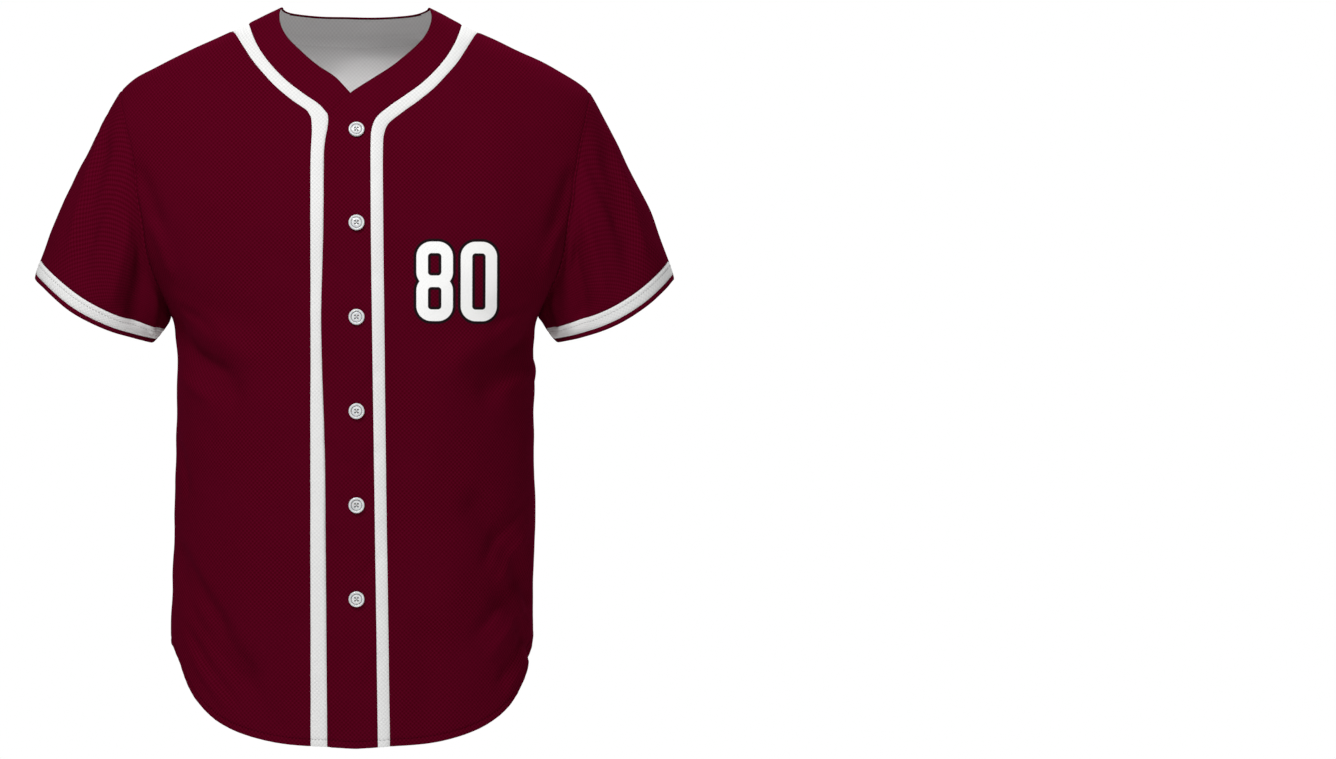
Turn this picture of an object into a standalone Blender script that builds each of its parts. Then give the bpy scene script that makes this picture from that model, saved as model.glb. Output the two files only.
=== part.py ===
"""Short-sleeved, button-front baseball jersey, open and hollow in the form it has when worn.

Metres. x runs to the wearer's left, y to the back and z up. The origin lies between the
shoulders, level with the middle of the shoulder seams.

The body is one smooth surface. A place on it is an angle round the wearer, in degrees (0 at the
middle of the front, 90 at the wearer's left side, 180 at the middle of the back), and a height.
Every cut edge is a curve on that surface, and each piece is a sheet between such curves, so
two pieces that are sewn together share the points of their seam.
"""

import math
from collections import namedtuple

import bmesh
import bpy
import numpy as np
from mathutils import Matrix, Vector

COLLECTION_NAME = "baseball_jersey"
MM = 0.001

# Cloth, seams and the lap of the two fronts
CLOTH_THICKNESS = 1.6
SEAM_GAP = 0.3
LAP_RISE = 2.2
LAP_FULL_TO = 17.5
LAP_ENDS_AT = 42.0
LONGEST_MITRE = 3.0
SHARP_ANGLE = 40.0

# Sections of the body, top to bottom, in millimetres
SECTION_POWER = 2.3
BodyLevel = namedtuple("BodyLevel", "height half_width front back")
BODY_LEVELS = (
    BodyLevel(43.3, 75.7, 45.0, 52.0),
    BodyLevel(37.0, 88.6, 47.0, 58.0),
    BodyLevel(30.0, 101.5, 49.0, 69.0),
    BodyLevel(20.0, 121.5, 52.3, 87.0),
    BodyLevel(8.0, 147.0, 57.5, 95.5),
    BodyLevel(-10.3, 187.0, 66.0, 101.5),
    BodyLevel(-30.9, 224.0, 77.5, 106.0),
    BodyLevel(-43.3, 239.0, 84.5, 108.5),
    BodyLevel(-74.0, 258.5, 99.0, 113.0),
    BodyLevel(-113.0, 261.0, 115.0, 118.0),
    BodyLevel(-141.0, 257.0, 124.0, 121.0),
    BodyLevel(-183.0, 241.0, 134.0, 122.0),
    BodyLevel(-224.5, 223.0, 137.0, 121.0),
    BodyLevel(-252.4, 203.4, 138.0, 120.0),
    BodyLevel(-275.0, 188.0, 138.0, 119.0),
    BodyLevel(-300.0, 184.0, 137.5, 117.0),
    BodyLevel(-360.0, 183.3, 135.0, 112.0),
    BodyLevel(-463.0, 185.0, 130.0, 110.0),
    BodyLevel(-566.0, 185.5, 124.0, 112.0),
    BodyLevel(-640.0, 186.0, 118.0, 109.0),
    BodyLevel(-720.0, 189.0, 110.0, 103.0),
)

# Shirt-tail hem: how far it hangs below its height at the side seams
HEM_AT_SIDE = -611.0
BACK_HEM_SHARE = 1.033
HemPoint = namedtuple("HemPoint", "angle drop")
HEM_CURVE = (
    HemPoint(0.0, 101.5),
    HemPoint(25.5, 94.0),
    HemPoint(46.0, 74.5),
    HemPoint(58.0, 54.5),
    HemPoint(67.0, 34.5),
    HemPoint(74.0, 17.5),
    HemPoint(82.0, 5.0),
    HemPoint(90.0, 0.0),
)

# Rows of points run across each panel from its inner edge to its side seam and armhole
ARMPIT_ROW = 14
TOP_ROW = 33
ARM_STEPS = TOP_ROW - ARMPIT_ROW
BAND_COLUMNS = 3
PANEL_COLUMNS = 9
BACK_NECK_COLUMNS = 10
BACK_BAND_ROWS = BAND_COLUMNS

# The neckline and placket lines of each front. "edge" is the cut edge of the band, "inner" and
# "outer" are the two sides of the white stripe. Offsets run towards the front's own side.
FrontLine = namedtuple("FrontLine", "row edge edge_z inner inner_z outer outer_z")
NECK_LINES = (
    FrontLine(25, 19.0, -33.8, 36.0, -61.5, 48.5, -67.8),
    FrontLine(26, 38.0, -20.2, 51.5, -50.5, 63.9, -56.7),
    FrontLine(27, 54.6, -5.8, 68.0, -38.1, 79.8, -43.5),
    FrontLine(28, 66.5, 5.8, 82.4, -23.7, 94.2, -27.8),
    FrontLine(29, 73.2, 15.5, 93.7, -9.3, 105.0, -14.4),
    FrontLine(30, 77.0, 25.0, 101.5, 4.1, 112.8, -2.1),
    FrontLine(31, 78.3, 33.5, 106.0, 14.8, 119.0, 8.0),
    FrontLine(32, 77.4, 39.8, 108.6, 22.3, 123.2, 14.8),
    FrontLine(33, 75.7, 43.3, 110.0, 26.3, 127.0, 18.5),
)
TOP_FRONT_LINES = (
    FrontLine(0, -25.0, -712.5, 22.6, -712.0, 34.8, -711.5),
    FrontLine(5, -28.8, -565.6, 20.6, -565.2, 32.6, -564.8),
    FrontLine(10, -30.6, -418.8, 18.5, -418.5, 30.4, -418.2),
    FrontLine(15, -34.4, -271.9, 16.4, -271.8, 28.7, -271.6),
    FrontLine(18, -32.2, -183.7, 15.4, -183.7, 27.8, -183.6),
    FrontLine(20, -31.9, -125.0, 15.2, -125.0, 27.4, -125.0),
    FrontLine(21, -31.5, -107.0, 15.2, -112.0, 27.5, -113.0),
    FrontLine(22, -28.3, -87.0, 15.4, -99.5, 27.7, -102.0),
    FrontLine(23, -21.5, -66.5, 16.4, -87.0, 28.8, -91.5),
    FrontLine(24, -4.6, -49.4, 21.5, -74.5, 33.8, -80.0),
) + NECK_LINES
UNDER_FRONT_LINES = (
    FrontLine(0, -14.9, -712.5, 31.4, -711.5, 45.3, -711.0),
    FrontLine(5, -14.9, -565.6, 31.4, -565.2, 45.3, -564.8),
    FrontLine(10, -14.9, -418.8, 31.4, -418.5, 45.3, -418.2),
    FrontLine(15, -14.9, -271.9, 31.4, -271.8, 45.3, -271.6),
    FrontLine(18, -14.9, -183.7, 31.4, -183.7, 45.3, -183.6),
    FrontLine(20, -14.9, -125.0, 31.4, -125.0, 45.3, -125.0),
    FrontLine(21, -14.9, -107.0, 31.2, -112.0, 45.1, -113.0),
    FrontLine(22, -14.0, -87.0, 30.5, -99.5, 44.7, -102.0),
    FrontLine(23, -9.5, -66.5, 28.6, -87.0, 44.0, -90.5),
    FrontLine(24, 4.6, -49.4, 27.8, -74.5, 44.0, -78.5),
) + NECK_LINES

# Back neck: each line runs from shoulder to shoulder, lowest at its middle
BackNeckLine = namedtuple("BackNeckLine", "ridge_height middle_height power")
BACK_NECK_EDGE = BackNeckLine(43.3, 36.5, 3.0)
BACK_STRIPE_TOP = BackNeckLine(26.3, 19.2, 2.1)
BACK_STRIPE_FOOT = BackNeckLine(18.5, 7.2, 1.4)

# Armhole, an upright oval in the side view
SHOULDER_HEIGHT = -43.3
ARMPIT_HEIGHT = -275.0
ARMHOLE_FRONT_DEPTH = 72.0
ARMHOLE_BACK_DEPTH = 70.0

# Sleeve and cuff, given for the wearer's left
CUFF_TOP = (328.0, 0.0, -237.0)
CUFF_UNDERARM = (208.0, 0.0, -302.0)
CUFF_HALF_DEPTH = 61.0
CUFF_SAG = 12.5
SLEEVE_ROUNDING_ALL = 1.5
SLEEVE_ROUNDING_FACES = 4.0
SLEEVE_ROUNDING_TOP = 6.2
SLEEVE_ROUNDING_POWER = 0.6
SLEEVE_RINGS = 5
CUFF_EDGE_WIDTH = 5.2
CUFF_STRIPE_WIDTH = 14.0

# Largest folds of the body: a line from one place to another, + a ridge and - a trough
BODY_ARC_PER_DEGREE = 2.8
BodyFold = namedtuple("BodyFold", "angle height to_angle to_height half_width depth")
BODY_FOLDS = (
    BodyFold(-76.0, -292.0, -40.0, -350.0, 17.0, -5.0),
    BodyFold(-62.0, -268.0, -34.0, -315.0, 14.0, 3.0),
    BodyFold(75.0, -298.0, 45.0, -348.0, 17.0, -4.5),
    BodyFold(60.0, -272.0, 32.0, -318.0, 14.0, 3.0),
    BodyFold(38.0, -470.0, 74.0, -562.0, 17.0, -4.5),
    BodyFold(50.0, -560.0, 80.0, -622.0, 14.0, -3.5),
    BodyFold(-74.0, -525.0, -34.0, -640.0, 17.0, -4.5),
    BodyFold(-46.0, -600.0, -22.0, -690.0, 14.0, -3.0),
    BodyFold(24.0, -340.0, 27.0, -560.0, 30.0, 3.0),
    BodyFold(-26.0, -370.0, -30.0, -590.0, 30.0, 3.0),
    BodyFold(102.0, -330.0, 138.0, -425.0, 17.0, 5.0),
    BodyFold(138.0, -425.0, 140.0, -520.0, 17.0, 4.5),
    BodyFold(140.0, -520.0, 106.0, -605.0, 17.0, 4.0),
    BodyFold(112.0, -400.0, 126.0, -520.0, 18.0, -5.0),
    BodyFold(-130.0, -288.0, -114.0, -450.0, 17.0, -5.0),
    BodyFold(-140.0, -560.0, -112.0, -630.0, 15.0, -3.5),
)

# Largest folds of the sleeves. Turn is 0 at the top, 90 at the front, 180 at the underarm and
# 270 at the back, and along is 0 at the armhole and 1 at the cuff.
SLEEVE_ARC_PER_DEGREE = 1.15
SLEEVE_LENGTH_SCALE = 130.0
SleeveFold = namedtuple("SleeveFold", "side turn along to_turn to_along half_width depth")
SLEEVE_FOLDS = (
    SleeveFold(-1, 40.0, 0.25, 78.0, 0.85, 13.0, -3.5),
    SleeveFold(-1, 118.0, 0.15, 132.0, 0.95, 13.0, -5.0),
    SleeveFold(-1, 300.0, 0.2, 275.0, 0.9, 13.0, -3.5),
    SleeveFold(1, 46.0, 0.3, 74.0, 0.9, 13.0, -3.0),
    SleeveFold(1, 108.0, 0.2, 126.0, 0.95, 13.0, -5.0),
    SleeveFold(1, 250.0, 0.15, 232.0, 0.9, 13.0, -4.5),
    SleeveFold(1, 306.0, 0.25, 288.0, 0.85, 12.0, 3.0),
)

# Buttons
BUTTON_COUNT = 6
BUTTON_X = 1.0
BUTTON_TOP = -87.5
BUTTON_PITCH = 94.7
BUTTON_RADIUS = 8.0
BUTTON_THICKNESS = 2.6
BUTTON_RIM_WIDTH = 2.2
BUTTON_DISH_DEPTH = 0.9
BUTTON_DISH_SLOPE = 1.2
BUTTON_EDGE_ROUND = 0.7
BUTTON_TURN_STEPS = 24
BUTTON_HOLE_RADIUS = 0.8
BUTTON_HOLE_SPREAD = 1.6
BUTTON_HOLE_SIDES = 6

BURGUNDY = (0.078, 0.002, 0.012, 1.0)
WHITE = (0.78, 0.78, 0.77, 1.0)
PEARL = (0.72, 0.72, 0.73, 1.0)


def smooth_column(rows, column, at):
    """Value of one column of a table at any value of its first column, on a smooth curve."""
    keys = np.array([row[0] for row in rows], float)
    values = np.array([getattr(row, column) for row in rows], float)
    if keys[0] > keys[-1]:
        keys, values = keys[::-1], values[::-1]
    slopes = np.gradient(values, keys)
    at = np.clip(np.asarray(at, float), keys[0], keys[-1])
    left = np.clip(np.searchsorted(keys, at, side="right") - 1, 0, len(keys) - 2)
    span = keys[left + 1] - keys[left]
    t = (at - keys[left]) / span
    return (
        values[left] * (1 + 2 * t) * (1 - t) ** 2
        + values[left + 1] * t**2 * (3 - 2 * t)
        + span * (slopes[left] * t * (1 - t) ** 2 - slopes[left + 1] * t**2 * (1 - t))
    )


def unit(vectors):
    """Vectors scaled to length one."""
    length = np.linalg.norm(vectors, axis=-1, keepdims=True)
    return vectors / np.maximum(length, 1e-9)


def smooth_step(value):
    """0 below 0, 1 above 1 and an even rise between."""
    value = np.clip(value, 0.0, 1.0)
    return value * value * (3 - 2 * value)


def fold_depth(folds, first, second, wrap, scale):
    """Sum of the soft folds at places given by an angle and a second measure."""
    total = np.zeros(np.broadcast(first, second).shape)
    for fold in folds:
        start_angle, start_second, end_angle, end_second, half_width, depth = fold[-6:]
        run = (wrap(end_angle - start_angle) * scale[0], (end_second - start_second) * scale[1])
        away = (wrap(first - start_angle) * scale[0], (second - start_second) * scale[1])
        length_squared = run[0] ** 2 + run[1] ** 2
        part = np.clip((away[0] * run[0] + away[1] * run[1]) / length_squared, 0.0, 1.0)
        distance_squared = (away[0] - part * run[0]) ** 2 + (away[1] - part * run[1]) ** 2
        total += depth * np.exp(-distance_squared / half_width**2)
    return total


def wrap_degrees(angle):
    """The same angle between -180 and 180."""
    return (np.asarray(angle) + 180.0) % 360.0 - 180.0


def body_base(angle, height):
    """Points of the body's surface before its folds."""
    angle, height = np.broadcast_arrays(np.asarray(angle, float), np.asarray(height, float))
    half_width = smooth_column(BODY_LEVELS, "half_width", height)
    front = smooth_column(BODY_LEVELS, "front", height)
    back = smooth_column(BODY_LEVELS, "back", height)
    sine, cosine = np.sin(np.radians(angle)), np.cos(np.radians(angle))
    power = 2.0 / SECTION_POWER
    x = half_width * np.sign(sine) * np.abs(sine) ** power
    depth = np.where(cosine >= 0, front, back)
    y = -depth * np.sign(cosine) * np.abs(cosine) ** power
    return np.stack([x, y, height], axis=-1)


def body_surface(angle, height):
    """Points of the body's surface with its folds, and the directions out of it."""
    across = body_base(angle + 1.0, height) - body_base(angle - 1.0, height)
    upward = body_base(angle, height + 2.0) - body_base(angle, height - 2.0)
    outward = unit(np.cross(across, upward))
    scale = (BODY_ARC_PER_DEGREE, 1.0)
    depth = fold_depth(BODY_FOLDS, angle, height, wrap_degrees, scale)
    return body_base(angle, height) + outward * depth[..., None], outward


def angle_at(offset, height):
    """Angle, 90 at most, where the front half of the body is this far from the middle."""
    share = np.clip(np.abs(offset) / smooth_column(BODY_LEVELS, "half_width", height), 0.0, 1.0)
    return np.sign(offset) * np.degrees(np.arcsin(share ** (SECTION_POWER / 2.0)))


def hem_height(angle):
    """Height of the hem at an angle round the body."""
    turn = np.abs(wrap_degrees(angle))
    share = np.where(turn > 90.0, BACK_HEM_SHARE, 1.0)
    from_middle = np.minimum(turn, 180.0 - turn)
    return HEM_AT_SIDE - share * smooth_column(HEM_CURVE, "drop", from_middle)


def side_line(row, back):
    """Angle and height of the side seam and armhole, by row, for the wearer's left."""
    row = np.asarray(row, float)
    climb = np.clip((row - ARMPIT_ROW) / ARM_STEPS, 0.0, 1.0) * math.pi
    middle = (SHOULDER_HEIGHT + ARMPIT_HEIGHT) / 2
    half_height = (SHOULDER_HEIGHT - ARMPIT_HEIGHT) / 2
    on_armhole = middle - half_height * np.cos(climb)
    share = np.clip(row / ARMPIT_ROW, 0.0, 1.0)
    on_side = HEM_AT_SIDE + (ARMPIT_HEIGHT - HEM_AT_SIDE) * share
    height = np.where(row > ARMPIT_ROW, on_armhole, on_side)
    reach = (ARMHOLE_BACK_DEPTH if back else ARMHOLE_FRONT_DEPTH) * np.sin(climb)
    full = smooth_column(BODY_LEVELS, "back" if back else "front", height)
    share = np.clip(reach / full, 0.0, 1.0) ** (SECTION_POWER / 2.0)
    angle = np.degrees(np.arccos(share))
    return (180.0 - angle if back else angle), height


def front_line(lines, name, row, side):
    """Angle and height of one line of a front, by row."""
    offset = smooth_column(lines, name, row)
    height = smooth_column(lines, name + "_z", row)
    return side * angle_at(offset, height), height


def between(first, last, share):
    """Places between two lines of one front, each an angle and a height."""
    return tuple(a + (b - a) * share for a, b in zip(first, last))


def lap_rise(points, outward, side):
    """The top front lifted off the one beneath it, near the middle."""
    if side < 0:
        return points
    share = smooth_step((LAP_ENDS_AT - points[..., 0]) / (LAP_ENDS_AT - LAP_FULL_TO))
    return points + outward * (LAP_RISE * share)[..., None]


def front_strip(lines, first, last, columns, side):
    """Grid of places, rows by columns, between two lines of a front."""
    rows = np.arange(TOP_ROW + 1.0)[:, None]
    share = np.linspace(0.0, 1.0, columns + 1)[None, :]
    start, end = (front_line(lines, name, rows, side) for name in (first, last))
    angle, height = between(start, end, share)
    height[0] = hem_height(angle[0])
    return angle, height


def filled_patch(left, right, foot, top):
    """Grid of places that meets four edge lines, each an angle and a height."""
    rows, columns = len(left[0]), len(foot[0])
    v = np.linspace(0.0, 1.0, rows)[:, None]
    u = np.linspace(0.0, 1.0, columns)[None, :]
    grids = []
    for a, b, c, d in zip(left, right, foot, top):
        straight = (1 - u) * a[:, None] + u * b[:, None]
        foot_extra = c - (c[0] + (c[-1] - c[0]) * u[0])
        top_extra = d - (d[0] + (d[-1] - d[0]) * u[0])
        grids.append(straight + (1 - v) ** 1.5 * foot_extra + v**3 * top_extra)
    return tuple(grids)


def front_panel_places(lines, side):
    """Grid of places of a front panel, from its stripe to its side seam and armhole."""
    rows = np.arange(TOP_ROW + 1.0)
    inner_angle, inner_height = front_line(lines, "outer", rows, side)
    inner_height[0] = hem_height(inner_angle[0])
    outer_angle, outer_height = side_line(rows, back=False)
    outer_angle = side * outer_angle
    foot_angle = np.linspace(inner_angle[0], outer_angle[0], PANEL_COLUMNS + 1)
    top_height = np.linspace(inner_height[-1], outer_height[-1], PANEL_COLUMNS + 1)
    return filled_patch(
        (inner_angle, inner_height),
        (outer_angle, outer_height),
        (foot_angle, hem_height(foot_angle)),
        (np.full(PANEL_COLUMNS + 1, side * 90.0), top_height),
    )


def back_neck_line(line, columns):
    """Angle and height of a line across the back neck, from the wearer's left to the right."""
    angle = np.linspace(90.0, 270.0, columns + 1)
    drop = line.ridge_height - line.middle_height
    height = line.middle_height + drop * np.abs(np.sin(np.radians(angle))) ** line.power
    return angle, height


def back_panel_places():
    """Grid of places of the back panel, from the wearer's left to the right."""
    rows = np.arange(TOP_ROW + 1.0)
    left_angle, left_height = side_line(rows, back=True)
    right_angle = 360.0 - left_angle
    columns = 2 * PANEL_COLUMNS + BACK_NECK_COLUMNS
    foot_angle = np.linspace(left_angle[0], right_angle[0], columns + 1)
    neck_angle, neck_height = back_neck_line(BACK_STRIPE_FOOT, BACK_NECK_COLUMNS)
    shoulder = np.linspace(SHOULDER_HEIGHT, BACK_STRIPE_FOOT.ridge_height, PANEL_COLUMNS + 1)[:-1]
    ridge = np.full(PANEL_COLUMNS, 90.0)
    top_angle = np.concatenate([ridge, neck_angle, ridge + 180.0])
    top_height = np.concatenate([shoulder, neck_height, shoulder[::-1]])
    return filled_patch(
        (left_angle, left_height),
        (right_angle, left_height),
        (foot_angle, hem_height(foot_angle)),
        (top_angle, top_height),
    )


def back_neck_strip(first, last, rows):
    """Grid of places between two lines across the back neck."""
    start = back_neck_line(first, BACK_NECK_COLUMNS)
    end = back_neck_line(last, BACK_NECK_COLUMNS)
    share = np.linspace(0.0, 1.0, rows + 1)[:, None]
    return between(start, end, share)


def sleeve_base(side, step, along):
    """Sleeve points by step round the armhole, 0 at the shoulder, and share of the length."""
    step, along = np.broadcast_arrays(np.asarray(step, float), np.asarray(along, float))
    step = step % (2 * ARM_STEPS)
    to_back = step > ARM_STEPS
    row = np.where(to_back, step - ARM_STEPS + ARMPIT_ROW, TOP_ROW - step)
    front_place, back_place = side_line(row, back=False), side_line(row, back=True)
    start = np.where(to_back[..., None], body_base(*back_place), body_base(*front_place))
    top, underarm = np.array(CUFF_TOP), np.array(CUFF_UNDERARM)
    turn = np.pi * step / ARM_STEPS
    half_chord = (top - underarm) / 2
    down = unit(np.array([-half_chord[2], 0.0, half_chord[0]])) * np.array([-1.0, 1.0, -1.0])
    cosine, sine = np.cos(turn)[..., None], np.sin(turn)[..., None]
    depth = np.array([0.0, -CUFF_HALF_DEPTH, 0.0])
    end = (top + underarm) / 2 + half_chord * cosine + depth * sine + CUFF_SAG * sine**2 * down
    straight = start + (end - start) * along[..., None]
    armhole_middle = np.array([215.0, 0.0, (SHOULDER_HEIGHT + ARMPIT_HEIGHT) / 2])
    axis = armhole_middle + ((top + underarm) / 2 - armhole_middle) * along[..., None]
    rounding = (
        SLEEVE_ROUNDING_ALL
        + SLEEVE_ROUNDING_FACES * np.sin(turn) ** 2
        + SLEEVE_ROUNDING_TOP * ((1 + np.cos(turn)) / 2) ** 2
    )
    swell = rounding * np.maximum(np.sin(np.pi * along), 0.0) ** SLEEVE_ROUNDING_POWER
    points = straight + unit(straight - axis) * swell[..., None]
    return points * np.array([side, 1.0, 1.0])


def sleeve_surface(side, step, along):
    """Sleeve points with their folds, and the directions out of the sleeve."""
    step, along = np.broadcast_arrays(np.asarray(step, float), np.asarray(along, float))
    nudge = 0.02
    low, high = np.maximum(along - nudge, 0.0), np.minimum(along + nudge, 1.0)
    around = sleeve_base(side, step + 0.5, along) - sleeve_base(side, step - 0.5, along)
    lengthwise = sleeve_base(side, step, high) - sleeve_base(side, step, low)
    outward = unit(np.cross(around, lengthwise)) * side
    turn = 180.0 * step / ARM_STEPS
    folds = [fold for fold in SLEEVE_FOLDS if fold.side == side]
    scale = (SLEEVE_ARC_PER_DEGREE, SLEEVE_LENGTH_SCALE)
    depth = fold_depth(folds, turn, along, wrap_degrees, scale)
    depth = depth * smooth_step(along / 0.2)
    return sleeve_base(side, step, along) + outward * depth[..., None], outward


def sleeve_length(step):
    """Length of the sleeve along each step, in millimetres."""
    run = sleeve_base(1, step, 1.0) - sleeve_base(1, step, 0.0)
    return np.linalg.norm(run, axis=-1)


def mitred(first, second):
    """Shared direction where two sheets meet, longer where they fold sharply together."""
    shared = unit(first + second)
    cosine = np.sum(shared * first, axis=-1, keepdims=True)
    return shared / np.maximum(cosine, 1.0 / LONGEST_MITRE)


def armhole_directions(side, back):
    """Directions shared by the body and the sleeve along the armhole, armpit to shoulder."""
    rows = np.arange(ARMPIT_ROW, TOP_ROW + 1.0)
    angle, height = side_line(rows, back)
    body_outward = body_surface(side * angle, height)[1]
    step = (rows - ARMPIT_ROW + ARM_STEPS) if back else (TOP_ROW - rows)
    sleeve_outward = sleeve_surface(side, step, 0.0)[1]
    return mitred(body_outward, sleeve_outward)


def seam_shift(edge, inward, next_row):
    """Half a seam gap, away from the seam, at each point of a sheet's edge."""
    run = unit(np.gradient(edge, axis=0))
    across = unit(np.cross(run, unit(inward)))
    facing = np.sign(np.sum(across * (next_row - edge), axis=-1, keepdims=True))
    return across * facing * SEAM_GAP / 2


def open_seams(points, directions, seams):
    """Outer points moved off the seams along the named edges of a sheet."""
    shift = np.zeros_like(points)
    if "start_row" in seams:
        shift[0] += seam_shift(points[0], directions[0], points[1])
    if "end_row" in seams:
        shift[-1] += seam_shift(points[-1], directions[-1], points[-2])
    if "start_column" in seams:
        shift[:, 0] += seam_shift(points[:, 0], directions[:, 0], points[:, 1])
    if "end_column" in seams:
        shift[:, -1] += seam_shift(points[:, -1], directions[:, -1], points[:, -2])
    return points + shift


def cloth_piece(name, points, directions, material, closed=False, kept=None):
    """A closed wall of cloth: the outer points, and the same points one thickness inside."""
    inner = points - directions * CLOTH_THICKNESS
    rows, columns = points.shape[:2]
    cell_columns = columns if closed else columns - 1
    if kept is None:
        kept = np.ones((rows - 1, cell_columns), bool)
    layer = rows * columns
    vertices = np.concatenate([points.reshape(-1, 3), inner.reshape(-1, 3)]) * MM

    def corner(row, column):
        return row * columns + column % columns

    def is_kept(row, column):
        if closed:
            column %= columns
        inside = 0 <= row < rows - 1 and 0 <= column < cell_columns
        return bool(inside and kept[row, column])

    first = (points[0, 1] - points[0, 0], points[1, 0] - points[0, 0])
    flipped = float(np.dot(np.cross(*first), directions[0, 0])) < 0
    faces = []
    for row in range(rows - 1):
        for column in range(cell_columns):
            if not is_kept(row, column):
                continue
            a, b = corner(row, column), corner(row, column + 1)
            c, d = corner(row + 1, column + 1), corner(row + 1, column)
            faces.append((a, b, c, d))
            faces.append((d + layer, c + layer, b + layer, a + layer))
            for start, end, beside in (
                (a, b, (row - 1, column)),
                (b, c, (row, column + 1)),
                (c, d, (row + 1, column)),
                (d, a, (row, column - 1)),
            ):
                if not is_kept(*beside):
                    faces.append((end, start, start + layer, end + layer))
    if flipped:
        faces = [face[::-1] for face in faces]
    mesh = bpy.data.meshes.new(name)
    mesh.from_pydata(vertices.tolist(), [], faces)
    tidy = bmesh.new()
    tidy.from_mesh(mesh)
    loose = [vertex for vertex in tidy.verts if not vertex.link_faces]
    bmesh.ops.delete(tidy, geom=loose, context="VERTS")
    bmesh.ops.triangulate(tidy, faces=tidy.faces)
    tidy.to_mesh(mesh)
    tidy.free()
    return place_piece(name, mesh, material)


def place_piece(name, mesh, material):
    """An object with this mesh and material in the jersey's collection."""
    mesh.materials.clear()
    mesh.materials.append(material)
    mesh.shade_smooth()
    mesh.set_sharp_from_angle(angle=math.radians(SHARP_ANGLE))
    piece = bpy.data.objects.new(name, mesh)
    bpy.data.collections[COLLECTION_NAME].objects.link(piece)
    return piece


def make_front(side, lines, cloth, stripe):
    """Band, stripe and panel of one front. Returns the band's outer points."""
    word = "left" if side > 0 else "right"
    strips = (
        ("band", "edge", "inner", BAND_COLUMNS, cloth, {"end_row", "end_column"}),
        ("trim", "inner", "outer", 1, stripe, {"end_row", "start_column", "end_column"}),
    )
    band_points = None
    for part, first, last, columns, material, seams in strips:
        points, outward = body_surface(*front_strip(lines, first, last, columns, side))
        points = open_seams(lap_rise(points, outward, side), outward, seams)
        cloth_piece(f"front_{word}_{part}", points, outward, material)
        band_points = points if part == "band" else band_points
    points, outward = body_surface(*front_panel_places(lines, side))
    points = lap_rise(points, outward, side)
    outward[ARMPIT_ROW:, -1] = armhole_directions(side, back=False)
    points = open_seams(points, outward, {"end_row", "start_column", "end_column"})
    cloth_piece(f"front_{word}_panel", points, outward, cloth)
    return band_points


def make_back(cloth, stripe):
    """Back panel, and the stripe and band across the back neck."""
    points, outward = body_surface(*back_panel_places())
    outward[ARMPIT_ROW:, 0] = armhole_directions(1, back=True)
    outward[ARMPIT_ROW:, -1] = armhole_directions(-1, back=True)
    points = open_seams(points, outward, {"end_row", "start_column", "end_column"})
    cloth_piece("back_panel", points, outward, cloth)
    all_round = {"start_row", "end_row", "start_column", "end_column"}
    points, outward = body_surface(*back_neck_strip(BACK_STRIPE_TOP, BACK_STRIPE_FOOT, 1))
    cloth_piece("back_trim", open_seams(points, outward, all_round), outward, stripe)
    places = back_neck_strip(BACK_NECK_EDGE, BACK_STRIPE_TOP, BACK_BAND_ROWS)
    points, outward = body_surface(*places)
    points = open_seams(points, outward, all_round - {"start_row"})
    cloth_piece("back_band", points, outward, cloth)


def make_sleeve(side, cloth, stripe):
    """Sleeve, and the stripe and edge on the front half of its cuff."""
    word = "left" if side > 0 else "right"
    steps = np.arange(2.0 * ARM_STEPS)
    step_gap = SEAM_GAP / 2 / np.pi / CUFF_HALF_DEPTH * ARM_STEPS
    steps[0] -= step_gap
    steps[ARM_STEPS] += step_gap
    half_gap = SEAM_GAP / 2

    def share_above_cuff(width, step):
        return 1.0 - width / sleeve_length(step)

    stripe_top = CUFF_EDGE_WIDTH + CUFF_STRIPE_WIDTH
    body_end = share_above_cuff(stripe_top + half_gap, steps)
    rings = [body_end * ring / SLEEVE_RINGS for ring in range(SLEEVE_RINGS + 1)]
    rings += [share_above_cuff(CUFF_EDGE_WIDTH, steps), np.ones_like(steps)]
    points, outward = sleeve_surface(side, steps[None, :], np.stack(rings))
    front = armhole_directions(side, back=False)[::-1]
    back = armhole_directions(side, back=True)
    outward[0] = np.concatenate([front, back[1:-1]])
    loop = np.concatenate([points[:1, -1:], points[:1], points[:1, :1]], axis=1)[0]
    around = np.concatenate([outward[:1, -1:], outward[:1], outward[:1, :1]], axis=1)[0]
    following = np.concatenate([points[1:2, -1:], points[1:2], points[1:2, :1]], axis=1)[0]
    points[0] += seam_shift(loop, around, following)[1:-1]
    kept = np.ones((len(rings) - 1, len(steps)), bool)
    kept[SLEEVE_RINGS:, :ARM_STEPS] = False
    cloth_piece(f"sleeve_{word}", points, outward, cloth, closed=True, kept=kept)

    half = np.arange(ARM_STEPS + 1.0)
    half[0] += step_gap
    half[-1] -= step_gap
    for part, upper, lower, material in (
        ("trim", stripe_top - half_gap, CUFF_EDGE_WIDTH + half_gap, stripe),
        ("edge", CUFF_EDGE_WIDTH - half_gap, 0.0, cloth),
    ):
        along = np.stack([share_above_cuff(upper, half), share_above_cuff(lower, half)])
        points, outward = sleeve_surface(side, half[None, :], along)
        cloth_piece(f"cuff_{part}_{word}", points, outward, material)


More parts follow.
